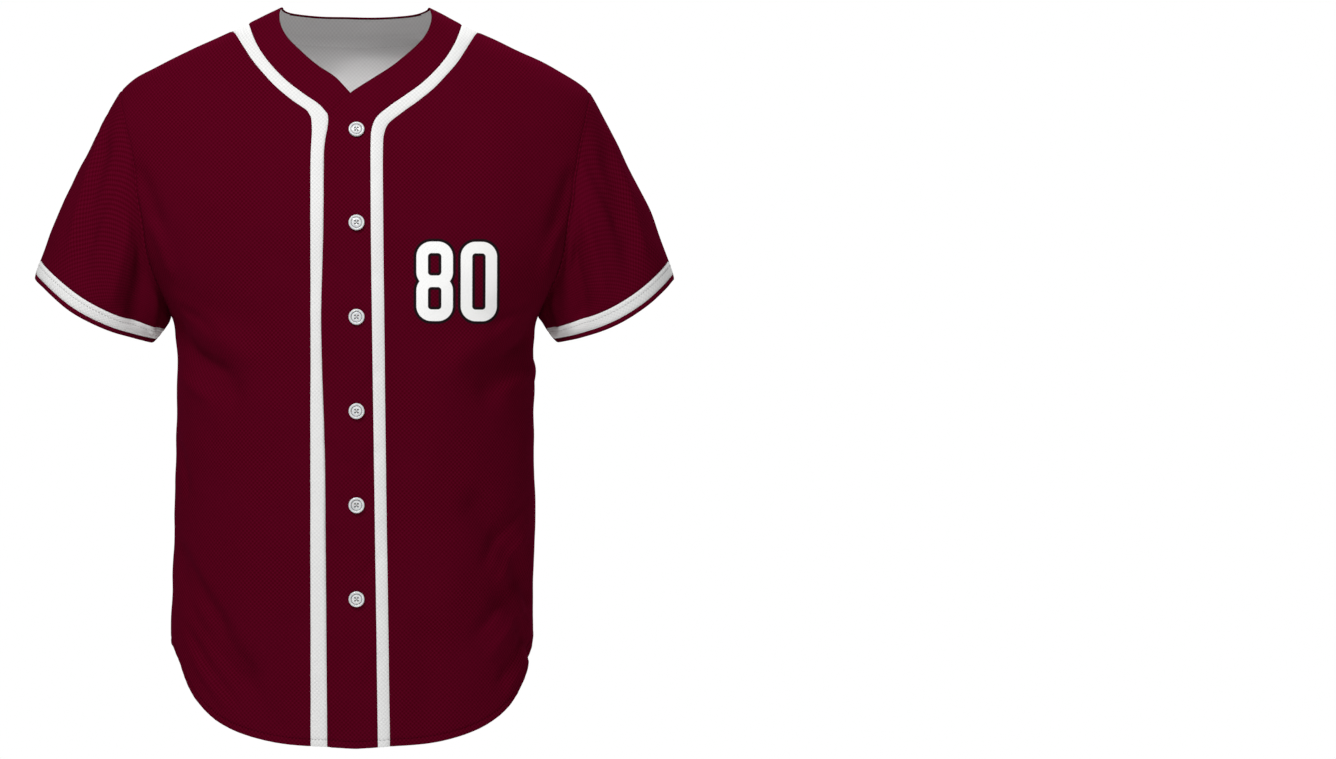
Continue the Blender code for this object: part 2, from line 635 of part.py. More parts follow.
def button_mesh():
    """A turned button with a raised rim, a dished middle and four thread holes."""
    dish = BUTTON_RADIUS - BUTTON_RIM_WIDTH
    top, bed = BUTTON_THICKNESS, BUTTON_THICKNESS - BUTTON_DISH_DEPTH
    profile = (
        (0.0, bed),
        (dish - BUTTON_DISH_SLOPE, bed),
        (dish, top),
        (BUTTON_RADIUS - BUTTON_EDGE_ROUND, top),
        (BUTTON_RADIUS, top - 2 * BUTTON_EDGE_ROUND),
        (BUTTON_RADIUS - BUTTON_EDGE_ROUND, 0.0),
        (0.0, 0.0),
    )
    mesh = bpy.data.meshes.new("button")
    points = [(radius * MM, 0.0, height * MM) for radius, height in profile]
    mesh.from_pydata(points, [(i, i + 1) for i in range(len(points) - 1)], [])
    turned = bpy.data.objects.new("button_turned", mesh)
    bpy.data.collections[COLLECTION_NAME].objects.link(turned)
    screw = turned.modifiers.new("Turn", "SCREW")
    screw.steps = screw.render_steps = BUTTON_TURN_STEPS
    screw.use_merge_vertices = True
    screw.merge_threshold = 0.00001
    screw.use_normal_calculate = True
    drills = button_drills()
    drill = turned.modifiers.new("Thread holes", "BOOLEAN")
    drill.operation = "DIFFERENCE"
    drill.object = drills
    depsgraph = bpy.context.evaluated_depsgraph_get()
    finished = bpy.data.meshes.new_from_object(turned.evaluated_get(depsgraph))
    bpy.data.objects.remove(turned)
    bpy.data.objects.remove(drills)
    return finished


def button_drills():
    """Four small rods that cut the thread holes."""
    cutter = bmesh.new()
    for across in (-1, 1):
        for upward in (-1, 1):
            place = Vector((across, upward, 0.0)) * BUTTON_HOLE_SPREAD * MM
            place.z = BUTTON_THICKNESS / 2 * MM
            bmesh.ops.create_cone(
                cutter,
                cap_ends=True,
                segments=BUTTON_HOLE_SIDES,
                radius1=BUTTON_HOLE_RADIUS * MM,
                radius2=BUTTON_HOLE_RADIUS * MM,
                depth=3 * BUTTON_THICKNESS * MM,
                matrix=Matrix.Translation(place),
            )
    mesh = bpy.data.meshes.new("button_drills")
    cutter.to_mesh(mesh)
    cutter.free()
    drills = bpy.data.objects.new("button_drills", mesh)
    drills.hide_render = True
    drills.display_type = "WIRE"
    bpy.data.collections[COLLECTION_NAME].objects.link(drills)
    return drills


def band_depth(band_points, x, height):
    """How far back the top band's facets lie at a place seen from the front."""
    nearest = None
    for row in range(len(band_points) - 1):
        for column in range(band_points.shape[1] - 1):
            a, b = band_points[row, column], band_points[row, column + 1]
            c, d = band_points[row + 1, column + 1], band_points[row + 1, column]
            for p, q, r in ((a, b, c), (a, c, d), (a, b, d), (b, c, d)):
                edges = np.array([[q[0] - p[0], r[0] - p[0]], [q[2] - p[2], r[2] - p[2]]])
                if abs(np.linalg.det(edges)) < 1e-9:
                    continue
                u, v = np.linalg.solve(edges, np.array([x - p[0], height - p[2]]))
                if u >= -1e-6 and v >= -1e-6 and u + v <= 1 + 1e-6:
                    y = p[1] + u * (q[1] - p[1]) + v * (r[1] - p[1])
                    nearest = y if nearest is None else min(nearest, y)
    return nearest


def make_buttons(band_points, pearl):
    """Six buttons down the top band, each set square to the cloth under it."""
    mesh = button_mesh()
    for index in range(BUTTON_COUNT):
        height = BUTTON_TOP - index * BUTTON_PITCH
        reach = BUTTON_RADIUS
        low = band_depth(band_points, BUTTON_X, height - reach)
        high = band_depth(band_points, BUTTON_X, height + reach)
        left = band_depth(band_points, BUTTON_X - reach, height)
        right = band_depth(band_points, BUTTON_X + reach, height)
        upward = unit(np.array([0.0, high - low, 2 * reach]))
        sideways = unit(np.array([2 * reach, right - left, 0.0]))
        outward = unit(np.cross(sideways, upward))
        seat = np.array([BUTTON_X, band_depth(band_points, BUTTON_X, height), height])
        lift = 0.0
        for turn in np.radians(np.arange(0.0, 360.0, 15.0)):
            for share in (0.35, 0.7, 1.0):
                rim = seat + share * reach * (np.cos(turn) * sideways + np.sin(turn) * upward)
                cloth = band_depth(band_points, rim[0], rim[2])
                lift = max(lift, (rim[1] - cloth) * -outward[1])
        seat = seat + outward * (lift + SEAM_GAP)
        sideways = unit(np.cross(upward, outward))
        button = place_piece(f"button_{index + 1}", mesh, pearl)
        turned = Matrix(np.stack([sideways, upward, outward], axis=1).tolist()).to_4x4()
        button.matrix_world = Matrix.Translation(Vector(seat * MM)) @ turned


def make_material(name, colour, roughness):
    """A plain finish."""
    material = bpy.data.materials.new(name)
    material.use_nodes = True
    material.diffuse_color = colour
    shader = material.node_tree.nodes["Principled BSDF"]
    shader.inputs["Base Color"].default_value = colour
    shader.inputs["Roughness"].default_value = roughness
    shader.inputs["Metallic"].default_value = 0.0
    return material


def main():
    """Build the jersey."""
    for thing in list(bpy.data.objects):
        bpy.data.objects.remove(thing)
    jersey = bpy.data.collections.new(COLLECTION_NAME)
    bpy.context.scene.collection.children.link(jersey)
    cloth = make_material("burgundy_knit", BURGUNDY, 0.75)
    stripe = make_material("white_knit", WHITE, 0.7)
    pearl = make_material("pearl_button", PEARL, 0.25)
    top_band = make_front(1, TOP_FRONT_LINES, cloth, stripe)
    make_front(-1, UNDER_FRONT_LINES, cloth, stripe)
    make_back(cloth, stripe)
    for side in (1, -1):
        make_sleeve(side, cloth, stripe)
    make_buttons(top_band, pearl)


main()
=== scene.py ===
"""Looks of a short-sleeved, button-front baseball jersey, open and hollow in the form it has when worn.

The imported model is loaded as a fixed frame, and each of its plain solids is replaced by a finely
made piece: knitted cloth with its creases, hems and seams, rows of stitches, and turned buttons.
Sizes are in millimetres until a mesh is made. x runs to the wearer's left, y to the back and z up.

A place on the body is an angle round the wearer, in degrees (0 at the middle of the front, 90 at
the wearer's left side, 180 at the middle of the back), and a height. A place on a sleeve is a step
round the armhole (0 at the shoulder, 19 at the underarm) and a share of the sleeve's length.
"""

from __future__ import annotations

import logging
import math
from dataclasses import dataclass, field
from enum import Enum
from typing import NamedTuple, Sequence

import bmesh
import bpy
import numpy as np
from mathutils import Matrix, Vector


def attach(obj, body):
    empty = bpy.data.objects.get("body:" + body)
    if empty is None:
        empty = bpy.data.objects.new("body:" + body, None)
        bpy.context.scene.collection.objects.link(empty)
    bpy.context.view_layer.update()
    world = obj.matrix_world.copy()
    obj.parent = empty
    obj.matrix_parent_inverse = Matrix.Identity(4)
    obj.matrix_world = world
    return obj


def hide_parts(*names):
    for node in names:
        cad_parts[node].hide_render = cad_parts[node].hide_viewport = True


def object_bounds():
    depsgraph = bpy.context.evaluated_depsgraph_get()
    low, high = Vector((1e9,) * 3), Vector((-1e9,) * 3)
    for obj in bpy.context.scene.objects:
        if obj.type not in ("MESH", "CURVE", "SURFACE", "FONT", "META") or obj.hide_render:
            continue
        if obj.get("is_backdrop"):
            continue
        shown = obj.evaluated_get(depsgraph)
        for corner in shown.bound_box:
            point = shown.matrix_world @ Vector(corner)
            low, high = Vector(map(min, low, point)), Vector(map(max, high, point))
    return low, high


log = logging.getLogger("jersey")

MM = 0.001
BODY_NAME = "root"

Colour = tuple[float, float, float]
Places = tuple[np.ndarray, np.ndarray]
Surface = tuple[np.ndarray, np.ndarray]


class Slot(Enum):
    """Material slots of the record."""

    BURGUNDY = "burgundy_knit"
    WHITE = "white_knit"
    PEARL = "pearl_button"


class Face(Enum):
    """Side of the body that a crease lies on, by the angle of its middle."""

    FRONT = 0.0
    BACK = 180.0


class Edge(Enum):
    """How an edge of a cut piece is finished."""

    SEAM = "sewn to its neighbour"
    FOLD = "turned in on itself"


class Level(NamedTuple):
    """A section of the body."""

    height: float
    half_width: float
    front: float
    back: float


class HemPoint(NamedTuple):
    """How far the hem hangs below its height at the side seams."""

    angle: float
    drop: float


class FrontLine(NamedTuple):
    """Neckline and placket lines of a front, by row of its pattern."""

    row: float
    edge: float
    edge_z: float
    inner: float
    inner_z: float
    outer: float
    outer_z: float


class BackNeckLine(NamedTuple):
    """A line across the back neck from shoulder to shoulder."""

    ridge_height: float
    middle_height: float
    power: float


class BodyFold(NamedTuple):
    """A large soft fold of the body, + a ridge and - a trough."""

    angle: float
    height: float
    to_angle: float
    to_height: float
    half_width: float
    depth: float


class Crease(NamedTuple):
    """A bent crease of the body: three places across and up, its half width and its depth."""

    face: Face
    x: float
    z: float
    bend_x: float
    bend_z: float
    to_x: float
    to_z: float
    half_width: float
    depth: float


class SleeveFold(NamedTuple):
    """A fold of a sleeve: turn is 0 on top, 90 in front, 180 at the underarm and 270 behind."""

    side: int
    turn: float
    along: float
    to_turn: float
    to_along: float
    half_width: float
    depth: float


LEVELS = (
    Level(43.3, 75.7, 45.0, 52.0),
    Level(37.0, 88.6, 47.0, 58.0),
    Level(30.0, 101.5, 49.0, 69.0),
    Level(20.0, 121.5, 52.3, 87.0),
    Level(8.0, 147.0, 57.5, 95.5),
    Level(-10.3, 187.0, 66.0, 101.5),
    Level(-30.9, 224.0, 77.5, 106.0),
    Level(-43.3, 239.0, 84.5, 108.5),
    Level(-74.0, 258.5, 99.0, 113.0),
    Level(-113.0, 261.0, 115.0, 118.0),
    Level(-141.0, 257.0, 124.0, 121.0),
    Level(-183.0, 241.0, 134.0, 122.0),
    Level(-224.5, 223.0, 137.0, 121.0),
    Level(-252.4, 203.4, 138.0, 120.0),
    Level(-275.0, 188.0, 138.0, 119.0),
    Level(-300.0, 184.0, 137.5, 117.0),
    Level(-360.0, 183.3, 135.0, 112.0),
    Level(-463.0, 185.0, 130.0, 110.0),
    Level(-566.0, 185.5, 124.0, 112.0),
    Level(-640.0, 186.0, 118.0, 109.0),
    Level(-720.0, 189.0, 110.0, 103.0),
)

HEM_CURVE = (
    HemPoint(0.0, 101.5),
    HemPoint(25.5, 94.0),
    HemPoint(46.0, 74.5),
    HemPoint(58.0, 54.5),
    HemPoint(67.0, 34.5),
    HemPoint(74.0, 17.5),
    HemPoint(82.0, 5.0),
    HemPoint(90.0, 0.0),
)

NECK_LINES = (
    FrontLine(25, 19.0, -33.8, 36.0, -61.5, 48.5, -67.8),
    FrontLine(26, 38.0, -20.2, 51.5, -50.5, 63.9, -56.7),
    FrontLine(27, 54.6, -5.8, 68.0, -38.1, 79.8, -43.5),
    FrontLine(28, 66.5, 5.8, 82.4, -23.7, 94.2, -27.8),
    FrontLine(29, 73.2, 15.5, 93.7, -9.3, 105.0, -14.4),
    FrontLine(30, 77.0, 25.0, 101.5, 4.1, 112.8, -2.1),
    FrontLine(31, 78.3, 33.5, 106.0, 14.8, 119.0, 8.0),
    FrontLine(32, 77.4, 39.8, 108.6, 22.3, 123.2, 14.8),
    FrontLine(33, 75.7, 43.3, 110.0, 26.3, 127.0, 18.5),
)
TOP_FRONT_LINES = (
    FrontLine(0, -25.0, -712.5, 22.6, -712.0, 34.8, -711.5),
    FrontLine(5, -28.8, -565.6, 20.6, -565.2, 32.6, -564.8),
    FrontLine(10, -30.6, -418.8, 18.5, -418.5, 30.4, -418.2),
    FrontLine(15, -34.4, -271.9, 16.4, -271.8, 28.7, -271.6),
    FrontLine(18, -32.2, -183.7, 15.4, -183.7, 27.8, -183.6),
    FrontLine(20, -31.9, -125.0, 15.2, -125.0, 27.4, -125.0),
    FrontLine(21, -31.5, -107.0, 15.2, -112.0, 27.5, -113.0),
    FrontLine(22, -28.3, -87.0, 15.4, -99.5, 27.7, -102.0),
    FrontLine(23, -21.5, -66.5, 16.4, -87.0, 28.8, -91.5),
    FrontLine(24, -4.6, -49.4, 21.5, -74.5, 33.8, -80.0),
) + NECK_LINES
UNDER_FRONT_LINES = (
    FrontLine(0, -14.9, -712.5, 28.6, -711.5, 45.3, -711.0),
    FrontLine(5, -14.9, -565.6, 29.6, -565.2, 45.3, -564.8),
    FrontLine(10, -14.9, -418.8, 30.6, -418.5, 45.3, -418.2),
    FrontLine(15, -14.9, -271.9, 31.4, -271.8, 45.3, -271.6),
    FrontLine(18, -14.9, -183.7, 31.4, -183.7, 45.3, -183.6),
    FrontLine(20, -14.9, -125.0, 31.4, -125.0, 45.3, -125.0),
    FrontLine(21, -14.9, -107.0, 31.2, -112.0, 45.1, -113.0),
    FrontLine(22, -14.0, -87.0, 30.5, -99.5, 44.7, -102.0),
    FrontLine(23, -9.5, -66.5, 28.6, -87.0, 44.0, -90.5),
    FrontLine(24, 4.6, -49.4, 27.8, -74.5, 44.4, -78.5),
    FrontLine(24.3, 8.9, -44.7, 28.4, -70.6, 44.9, -74.0),
    FrontLine(24.6, 13.2, -40.0, 31.6, -66.6, 46.6, -71.2),
) + NECK_LINES

BACK_NECK_EDGE = BackNeckLine(43.3, 36.5, 3.0)
BACK_STRIPE_TOP = BackNeckLine(26.3, 19.2, 2.1)
BACK_STRIPE_FOOT = BackNeckLine(18.5, 7.2, 1.4)

BODY_FOLDS = (
    BodyFold(-76.0, -292.0, -40.0, -350.0, 17.0, -5.0),
    BodyFold(-62.0, -268.0, -34.0, -315.0, 14.0, 3.0),
    BodyFold(75.0, -298.0, 45.0, -348.0, 17.0, -4.5),
    BodyFold(60.0, -272.0, 32.0, -318.0, 14.0, 3.0),
    BodyFold(38.0, -470.0, 74.0, -562.0, 17.0, -4.5),
    BodyFold(50.0, -560.0, 80.0, -622.0, 14.0, -3.5),
    BodyFold(-74.0, -525.0, -34.0, -640.0, 17.0, -4.5),
    BodyFold(-46.0, -600.0, -22.0, -690.0, 14.0, -3.0),
    BodyFold(24.0, -340.0, 27.0, -560.0, 30.0, 3.0),
    BodyFold(-26.0, -370.0, -30.0, -590.0, 30.0, 3.0),
    BodyFold(102.0, -330.0, 138.0, -425.0, 17.0, 5.0),
    BodyFold(138.0, -425.0, 140.0, -520.0, 17.0, 4.5),
    BodyFold(140.0, -520.0, 106.0, -605.0, 17.0, 4.0),
    BodyFold(112.0, -400.0, 126.0, -520.0, 18.0, -5.0),
    BodyFold(-130.0, -288.0, -114.0, -450.0, 17.0, -5.0),
    BodyFold(-140.0, -560.0, -112.0, -630.0, 15.0, -3.5),
    # The body hangs a little towards the wearer's right above the hem
    BodyFold(90.0, -560.0, 90.0, -650.0, 55.0, -2.2),
    BodyFold(-90.0, -545.0, -90.0, -595.0, 38.0, 1.8),
)

BODY_CREASES = (
    # Front, wearer's right: out of the armpit, then the sweep above the hem
    Crease(Face.FRONT, -184, -262, -160, -272, -132, -300, 7, -1.6),
    Crease(Face.FRONT, -183, -300, -158, -322, -118, -338, 8, -1.8),
    Crease(Face.FRONT, -182, -330, -165, -352, -140, -362, 7, 1.3),
    Crease(Face.FRONT, -183, -395, -170, -430, -172, -470, 9, -1.6),
    Crease(Face.FRONT, -182, -500, -160, -560, -112, -612, 9, -1.9),
    Crease(Face.FRONT, -176, -545, -148, -600, -98, -655, 8, 1.6),
    Crease(Face.FRONT, -180, -580, -152, -632, -108, -684, 7, -1.6),
    Crease(Face.FRONT, -172, -610, -150, -650, -120, -680, 5, 1.1),
    Crease(Face.FRONT, -98, -330, -84, -430, -92, -530, 20, -1.2),
    Crease(Face.FRONT, -70, -560, -58, -630, -64, -700, 15, -1.1),
    Crease(Face.FRONT, -60, -180, -66, -280, -58, -380, 18, -0.9),
    # Front, wearer's right: shoulder and chest
    Crease(Face.FRONT, -232, -110, -205, -150, -196, -205, 11, -1.8),
    Crease(Face.FRONT, -214, -170, -190, -205, -186, -245, 8, 1.4),
    Crease(Face.FRONT, -150, -60, -132, -120, -140, -190, 20, 1.0),
    # Front, wearer's left: out of the armpit
    Crease(Face.FRONT, 186, -258, 158, -268, 128, -296, 7, -1.6),
    Crease(Face.FRONT, 184, -296, 160, -318, 122, -330, 8, -1.7),
    Crease(Face.FRONT, 183, -326, 168, -346, 142, -352, 7, 1.2),
    Crease(Face.FRONT, 230, -112, 206, -155, 199, -210, 11, -1.9),
    Crease(Face.FRONT, 216, -172, 194, -205, 190, -246, 8, 1.4),
    Crease(Face.FRONT, 156, -62, 140, -120, 150, -185, 20, 0.9),
    # Front, wearer's left: wrinkles low on the side
    Crease(Face.FRONT, 181, -458, 150, -488, 122, -540, 9, -1.9),
    Crease(Face.FRONT, 180, -490, 158, -520, 138, -566, 8, 1.6),
    Crease(Face.FRONT, 182, -530, 152, -560, 112, -612, 9, -2.0),
    Crease(Face.FRONT, 181, -566, 156, -590, 128, -632, 7, 1.5),
    Crease(Face.FRONT, 182, -596, 160, -618, 140, -660, 7, -1.7),
    Crease(Face.FRONT, 176, -628, 160, -644, 150, -668, 5, 1.0),
    Crease(Face.FRONT, 88, -360, 98, -440, 84, -520, 20, -1.1),
    Crease(Face.FRONT, 66, -560, 78, -630, 70, -700, 15, -1.1),
    # Placket and its stripes: small puckers between the buttons
    Crease(Face.FRONT, -34, -116, -20, -128, -8, -146, 4.5, -0.6),
    Crease(Face.FRONT, 26, -128, 14, -136, 4, -154, 4.5, -0.5),
    Crease(Face.FRONT, -36, -212, -18, -226, -4, -250, 5, -0.8),
    Crease(Face.FRONT, -34, -250, -22, -262, -12, -284, 4.5, 0.6),
    Crease(Face.FRONT, 26, -224, 12, -238, 4, -258, 4.5, -0.6),
    Crease(Face.FRONT, -34, -306, -20, -322, -6, -342, 5, -0.7),
    Crease(Face.FRONT, 28, -326, 14, -338, 8, -356, 4.5, -0.5),
    Crease(Face.FRONT, -34, -396, -20, -414, -6, -436, 5, -0.8),
    Crease(Face.FRONT, -33, -432, -22, -446, -14, -464, 4.5, 0.6),
    Crease(Face.FRONT, 27, -404, 14, -420, 6, -444, 5, -0.7),
    Crease(Face.FRONT, -32, -486, -18, -504, -4, -530, 5, -0.8),
    Crease(Face.FRONT, 28, -512, 14, -524, 6, -546, 4.5, -0.6),
    Crease(Face.FRONT, -30, -590, -16, -614, -6, -640, 5.5, -0.8),
    Crease(Face.FRONT, 28, -612, 14, -634, 8, -664, 5.5, -0.7),
    Crease(Face.FRONT, -28, -650, -16, -672, -12, -698, 5, 0.6),
    # Back, wearer's left: beside the long fold and above the hem
    Crease(Face.BACK, 186, -300, 165, -330, 150, -372, 9, -1.8),
    Crease(Face.BACK, 184, -352, 162, -388, 146, -440, 8, -1.6),
    Crease(Face.BACK, 182, -430, 168, -452, 160, -484, 6, 1.6),
    Crease(Face.BACK, 184, -560, 160, -590, 128, -640, 9, -1.8),
    Crease(Face.BACK, 180, -600, 158, -626, 132, -668, 7, 1.4),
    Crease(Face.BACK, 176, -624, 160, -644, 142, -668, 6, -1.2),
    Crease(Face.BACK, 214, -110, 196, -160, 190, -220, 12, -2.0),
    Crease(Face.BACK, 196, -190, 182, -225, 178, -262, 8, 1.5),
    # Back, wearer's right
    Crease(Face.BACK, -214, -112, -196, -165, -188, -228, 12, -2.0),
    Crease(Face.BACK, -188, -262, -160, -300, -150, -360, 9, -1.7),
    Crease(Face.BACK, -184, -330, -172, -380, -176, -440, 8, 1.6),
    Crease(Face.BACK, -184, -470, -160, -520, -156, -570, 9, -1.6),
    Crease(Face.BACK, -182, -590, -158, -622, -126, -664, 8, -1.7),
    Crease(Face.BACK, -178, -560, -150, -590, -122, -626, 8, 1.3),
    # Back: slow folds down the middle
    Crease(Face.BACK, 90, -60, 104, -160, 92, -260, 24, -1.0),
    Crease(Face.BACK, -92, -62, -106, -170, -94, -270, 24, -1.0),
    Crease(Face.BACK, 60, -420, 70, -520, 54, -640, 24, 1.2),
    Crease(Face.BACK, -66, -400, -56, -520, -72, -640, 24, 1.2),
    Crease(Face.BACK, 8, -560, 14, -630, 4, -710, 22, -1.0),
)

SLEEVE_FOLDS = (
    SleeveFold(-1, 40.0, 0.25, 78.0, 0.85, 13.0, -3.5),
    SleeveFold(-1, 118.0, 0.15, 132.0, 0.95, 13.0, -5.0),
    SleeveFold(-1, 300.0, 0.2, 275.0, 0.9, 13.0, -3.5),
    SleeveFold(1, 46.0, 0.3, 74.0, 0.9, 13.0, -3.0),
    SleeveFold(1, 108.0, 0.2, 126.0, 0.95, 13.0, -5.0),
    SleeveFold(1, 250.0, 0.15, 232.0, 0.9, 13.0, -4.5),
    SleeveFold(1, 306.0, 0.25, 288.0, 0.85, 12.0, 3.0),
)
SLEEVE_CREASES = (
    SleeveFold(-1, 20.0, 0.15, 52.0, 0.7, 6.0, 1.6),
    SleeveFold(-1, 62.0, 0.1, 66.0, 0.55, 6.0, -1.6),
    SleeveFold(-1, 92.0, 0.2, 104.0, 0.8, 7.0, 1.7),
    SleeveFold(-1, 140.0, 0.1, 152.0, 0.7, 6.0, 1.5),
    SleeveFold(-1, 240.0, 0.1, 228.0, 0.8, 7.0, -1.8),
    SleeveFold(-1, 270.0, 0.35, 262.0, 0.95, 6.0, 1.4),
    SleeveFold(-1, 326.0, 0.1, 316.0, 0.6, 7.0, -1.4),
    SleeveFold(1, 24.0, 0.2, 48.0, 0.75, 6.0, 1.5),
    SleeveFold(1, 60.0, 0.1, 62.0, 0.5, 6.0, -1.5),
    SleeveFold(1, 86.0, 0.15, 98.0, 0.85, 7.0, 1.8),
    SleeveFold(1, 142.0, 0.1, 150.0, 0.75, 6.0, 1.4),
    SleeveFold(1, 268.0, 0.3, 256.0, 0.9, 6.0, 1.4),
    SleeveFold(1, 214.0, 0.1, 208.0, 0.7, 6.0, 1.2),
    SleeveFold(1, 334.0, 0.1, 322.0, 0.55, 7.0, -1.3),
)


def smooth_column(rows: Sequence[NamedTuple], column: str, at: np.ndarray | float) -> np.ndarray:
    """Value of one column of a table at any value of its first column, on a smooth curve.

    Args:
        rows: The table, in order of its first column.
        column: Name of the column to read.
        at: Values of the first column.

    Returns:
        The column's values there.
    """
    keys = np.array([row[0] for row in rows], float)
    values = np.array([getattr(row, column) for row in rows], float)
    if keys[0] > keys[-1]:
        keys, values = keys[::-1], values[::-1]
    slopes = np.gradient(values, keys)
    at = np.clip(np.asarray(at, float), keys[0], keys[-1])
    left = np.clip(np.searchsorted(keys, at, side="right") - 1, 0, len(keys) - 2)
    span = keys[left + 1] - keys[left]
    t = (at - keys[left]) / span
    return (
        values[left] * (1 + 2 * t) * (1 - t) ** 2
        + values[left + 1] * t**2 * (3 - 2 * t)
        + span * (slopes[left] * t * (1 - t) ** 2 - slopes[left + 1] * t**2 * (1 - t))
    )


def unit(vectors: np.ndarray) -> np.ndarray:
    """Vectors scaled to length one."""
    length = np.linalg.norm(vectors, axis=-1, keepdims=True)
    return vectors / np.maximum(length, 1e-9)


def smooth_step(value: np.ndarray | float) -> np.ndarray:
    """0 below 0, 1 above 1 and an even rise between."""
    value = np.clip(value, 0.0, 1.0)
    return value * value * (3 - 2 * value)


def wrap_degrees(angle: np.ndarray | float) -> np.ndarray:
    """The same angle between -180 and 180."""
    return (np.asarray(angle) + 180.0) % 360.0 - 180.0


def bell(distance: np.ndarray, half_width: float) -> np.ndarray:
    """1 at no distance, falling softly to 0 past the half width."""
    return np.exp(-((distance / half_width) ** 2))


def fine_shares(length: float, spacing: float, fine: Sequence[float] = ()) -> np.ndarray:
    """Shares of a length at even spacing, with closer ones near both ends.

    Args:
        length: Length in millimetres.
        spacing: Spacing away from the ends.
        fine: Distances from each end at which there is a share too.

    Returns:
        Rising shares from 0 to 1.
    """
    count = max(2, round(length / spacing))
    even = np.linspace(0.0, 1.0, count + 1)
    near = np.array([0.0, *fine]) / length
    reach = near[-1] + 0.5 * spacing / length
    middle = even[(even > reach) & (even < 1 - reach)]
    return np.concatenate([near, middle, (1 - near)[::-1]])


def fold_depth(folds: Sequence, first: np.ndarray, second: np.ndarray, scale: tuple) -> np.ndarray:
    """Sum of straight soft folds at places given by an angle and a second measure.

    Args:
        folds: Rows that end in two places, a half width and a depth.
        first: Angles.
        second: Heights, or shares of a sleeve.
        scale: Millimetres for one unit of each measure.

    Returns:
        Depth at each place, + out of the cloth.
    """
    total = np.zeros(np.broadcast(first, second).shape)
    for fold in folds:
        angle, start, to_angle, end, half_width, depth = fold[-6:]
        run = (wrap_degrees(to_angle - angle) * scale[0], (end - start) * scale[1])
        away = (wrap_degrees(first - angle) * scale[0], (second - start) * scale[1])
        part = (away[0] * run[0] + away[1] * run[1]) / (run[0] ** 2 + run[1] ** 2)
        part = np.clip(part, 0.0, 1.0)
        gap = np.hypot(away[0] - part * run[0], away[1] - part * run[1])
        total += depth * bell(gap, half_width)
    return total


@dataclass
class Ripple:
    """Slow unevenness of cloth that has been worn, the same on both sides of a seam."""

    seed: int = 31
    waves: int = 18
    longest: float = 120.0
    shortest: float = 26.0
    height: float = 0.16

    def at(self, points: np.ndarray) -> np.ndarray:
        """Height of the unevenness at points of the cloth, in millimetres."""
        chance = np.random.default_rng(self.seed)
        total = np.zeros(points.shape[:-1])
        for wave in range(self.waves):
            share = wave / (self.waves - 1)
            length = self.longest * (self.shortest / self.longest) ** share
            heading = unit(chance.normal(size=3))
            phase = chance.uniform(0.0, 2 * math.pi)
            total += np.sin(points @ heading * (2 * math.pi / length) + phase) * (1 - 0.5 * share)
        return total * self.height


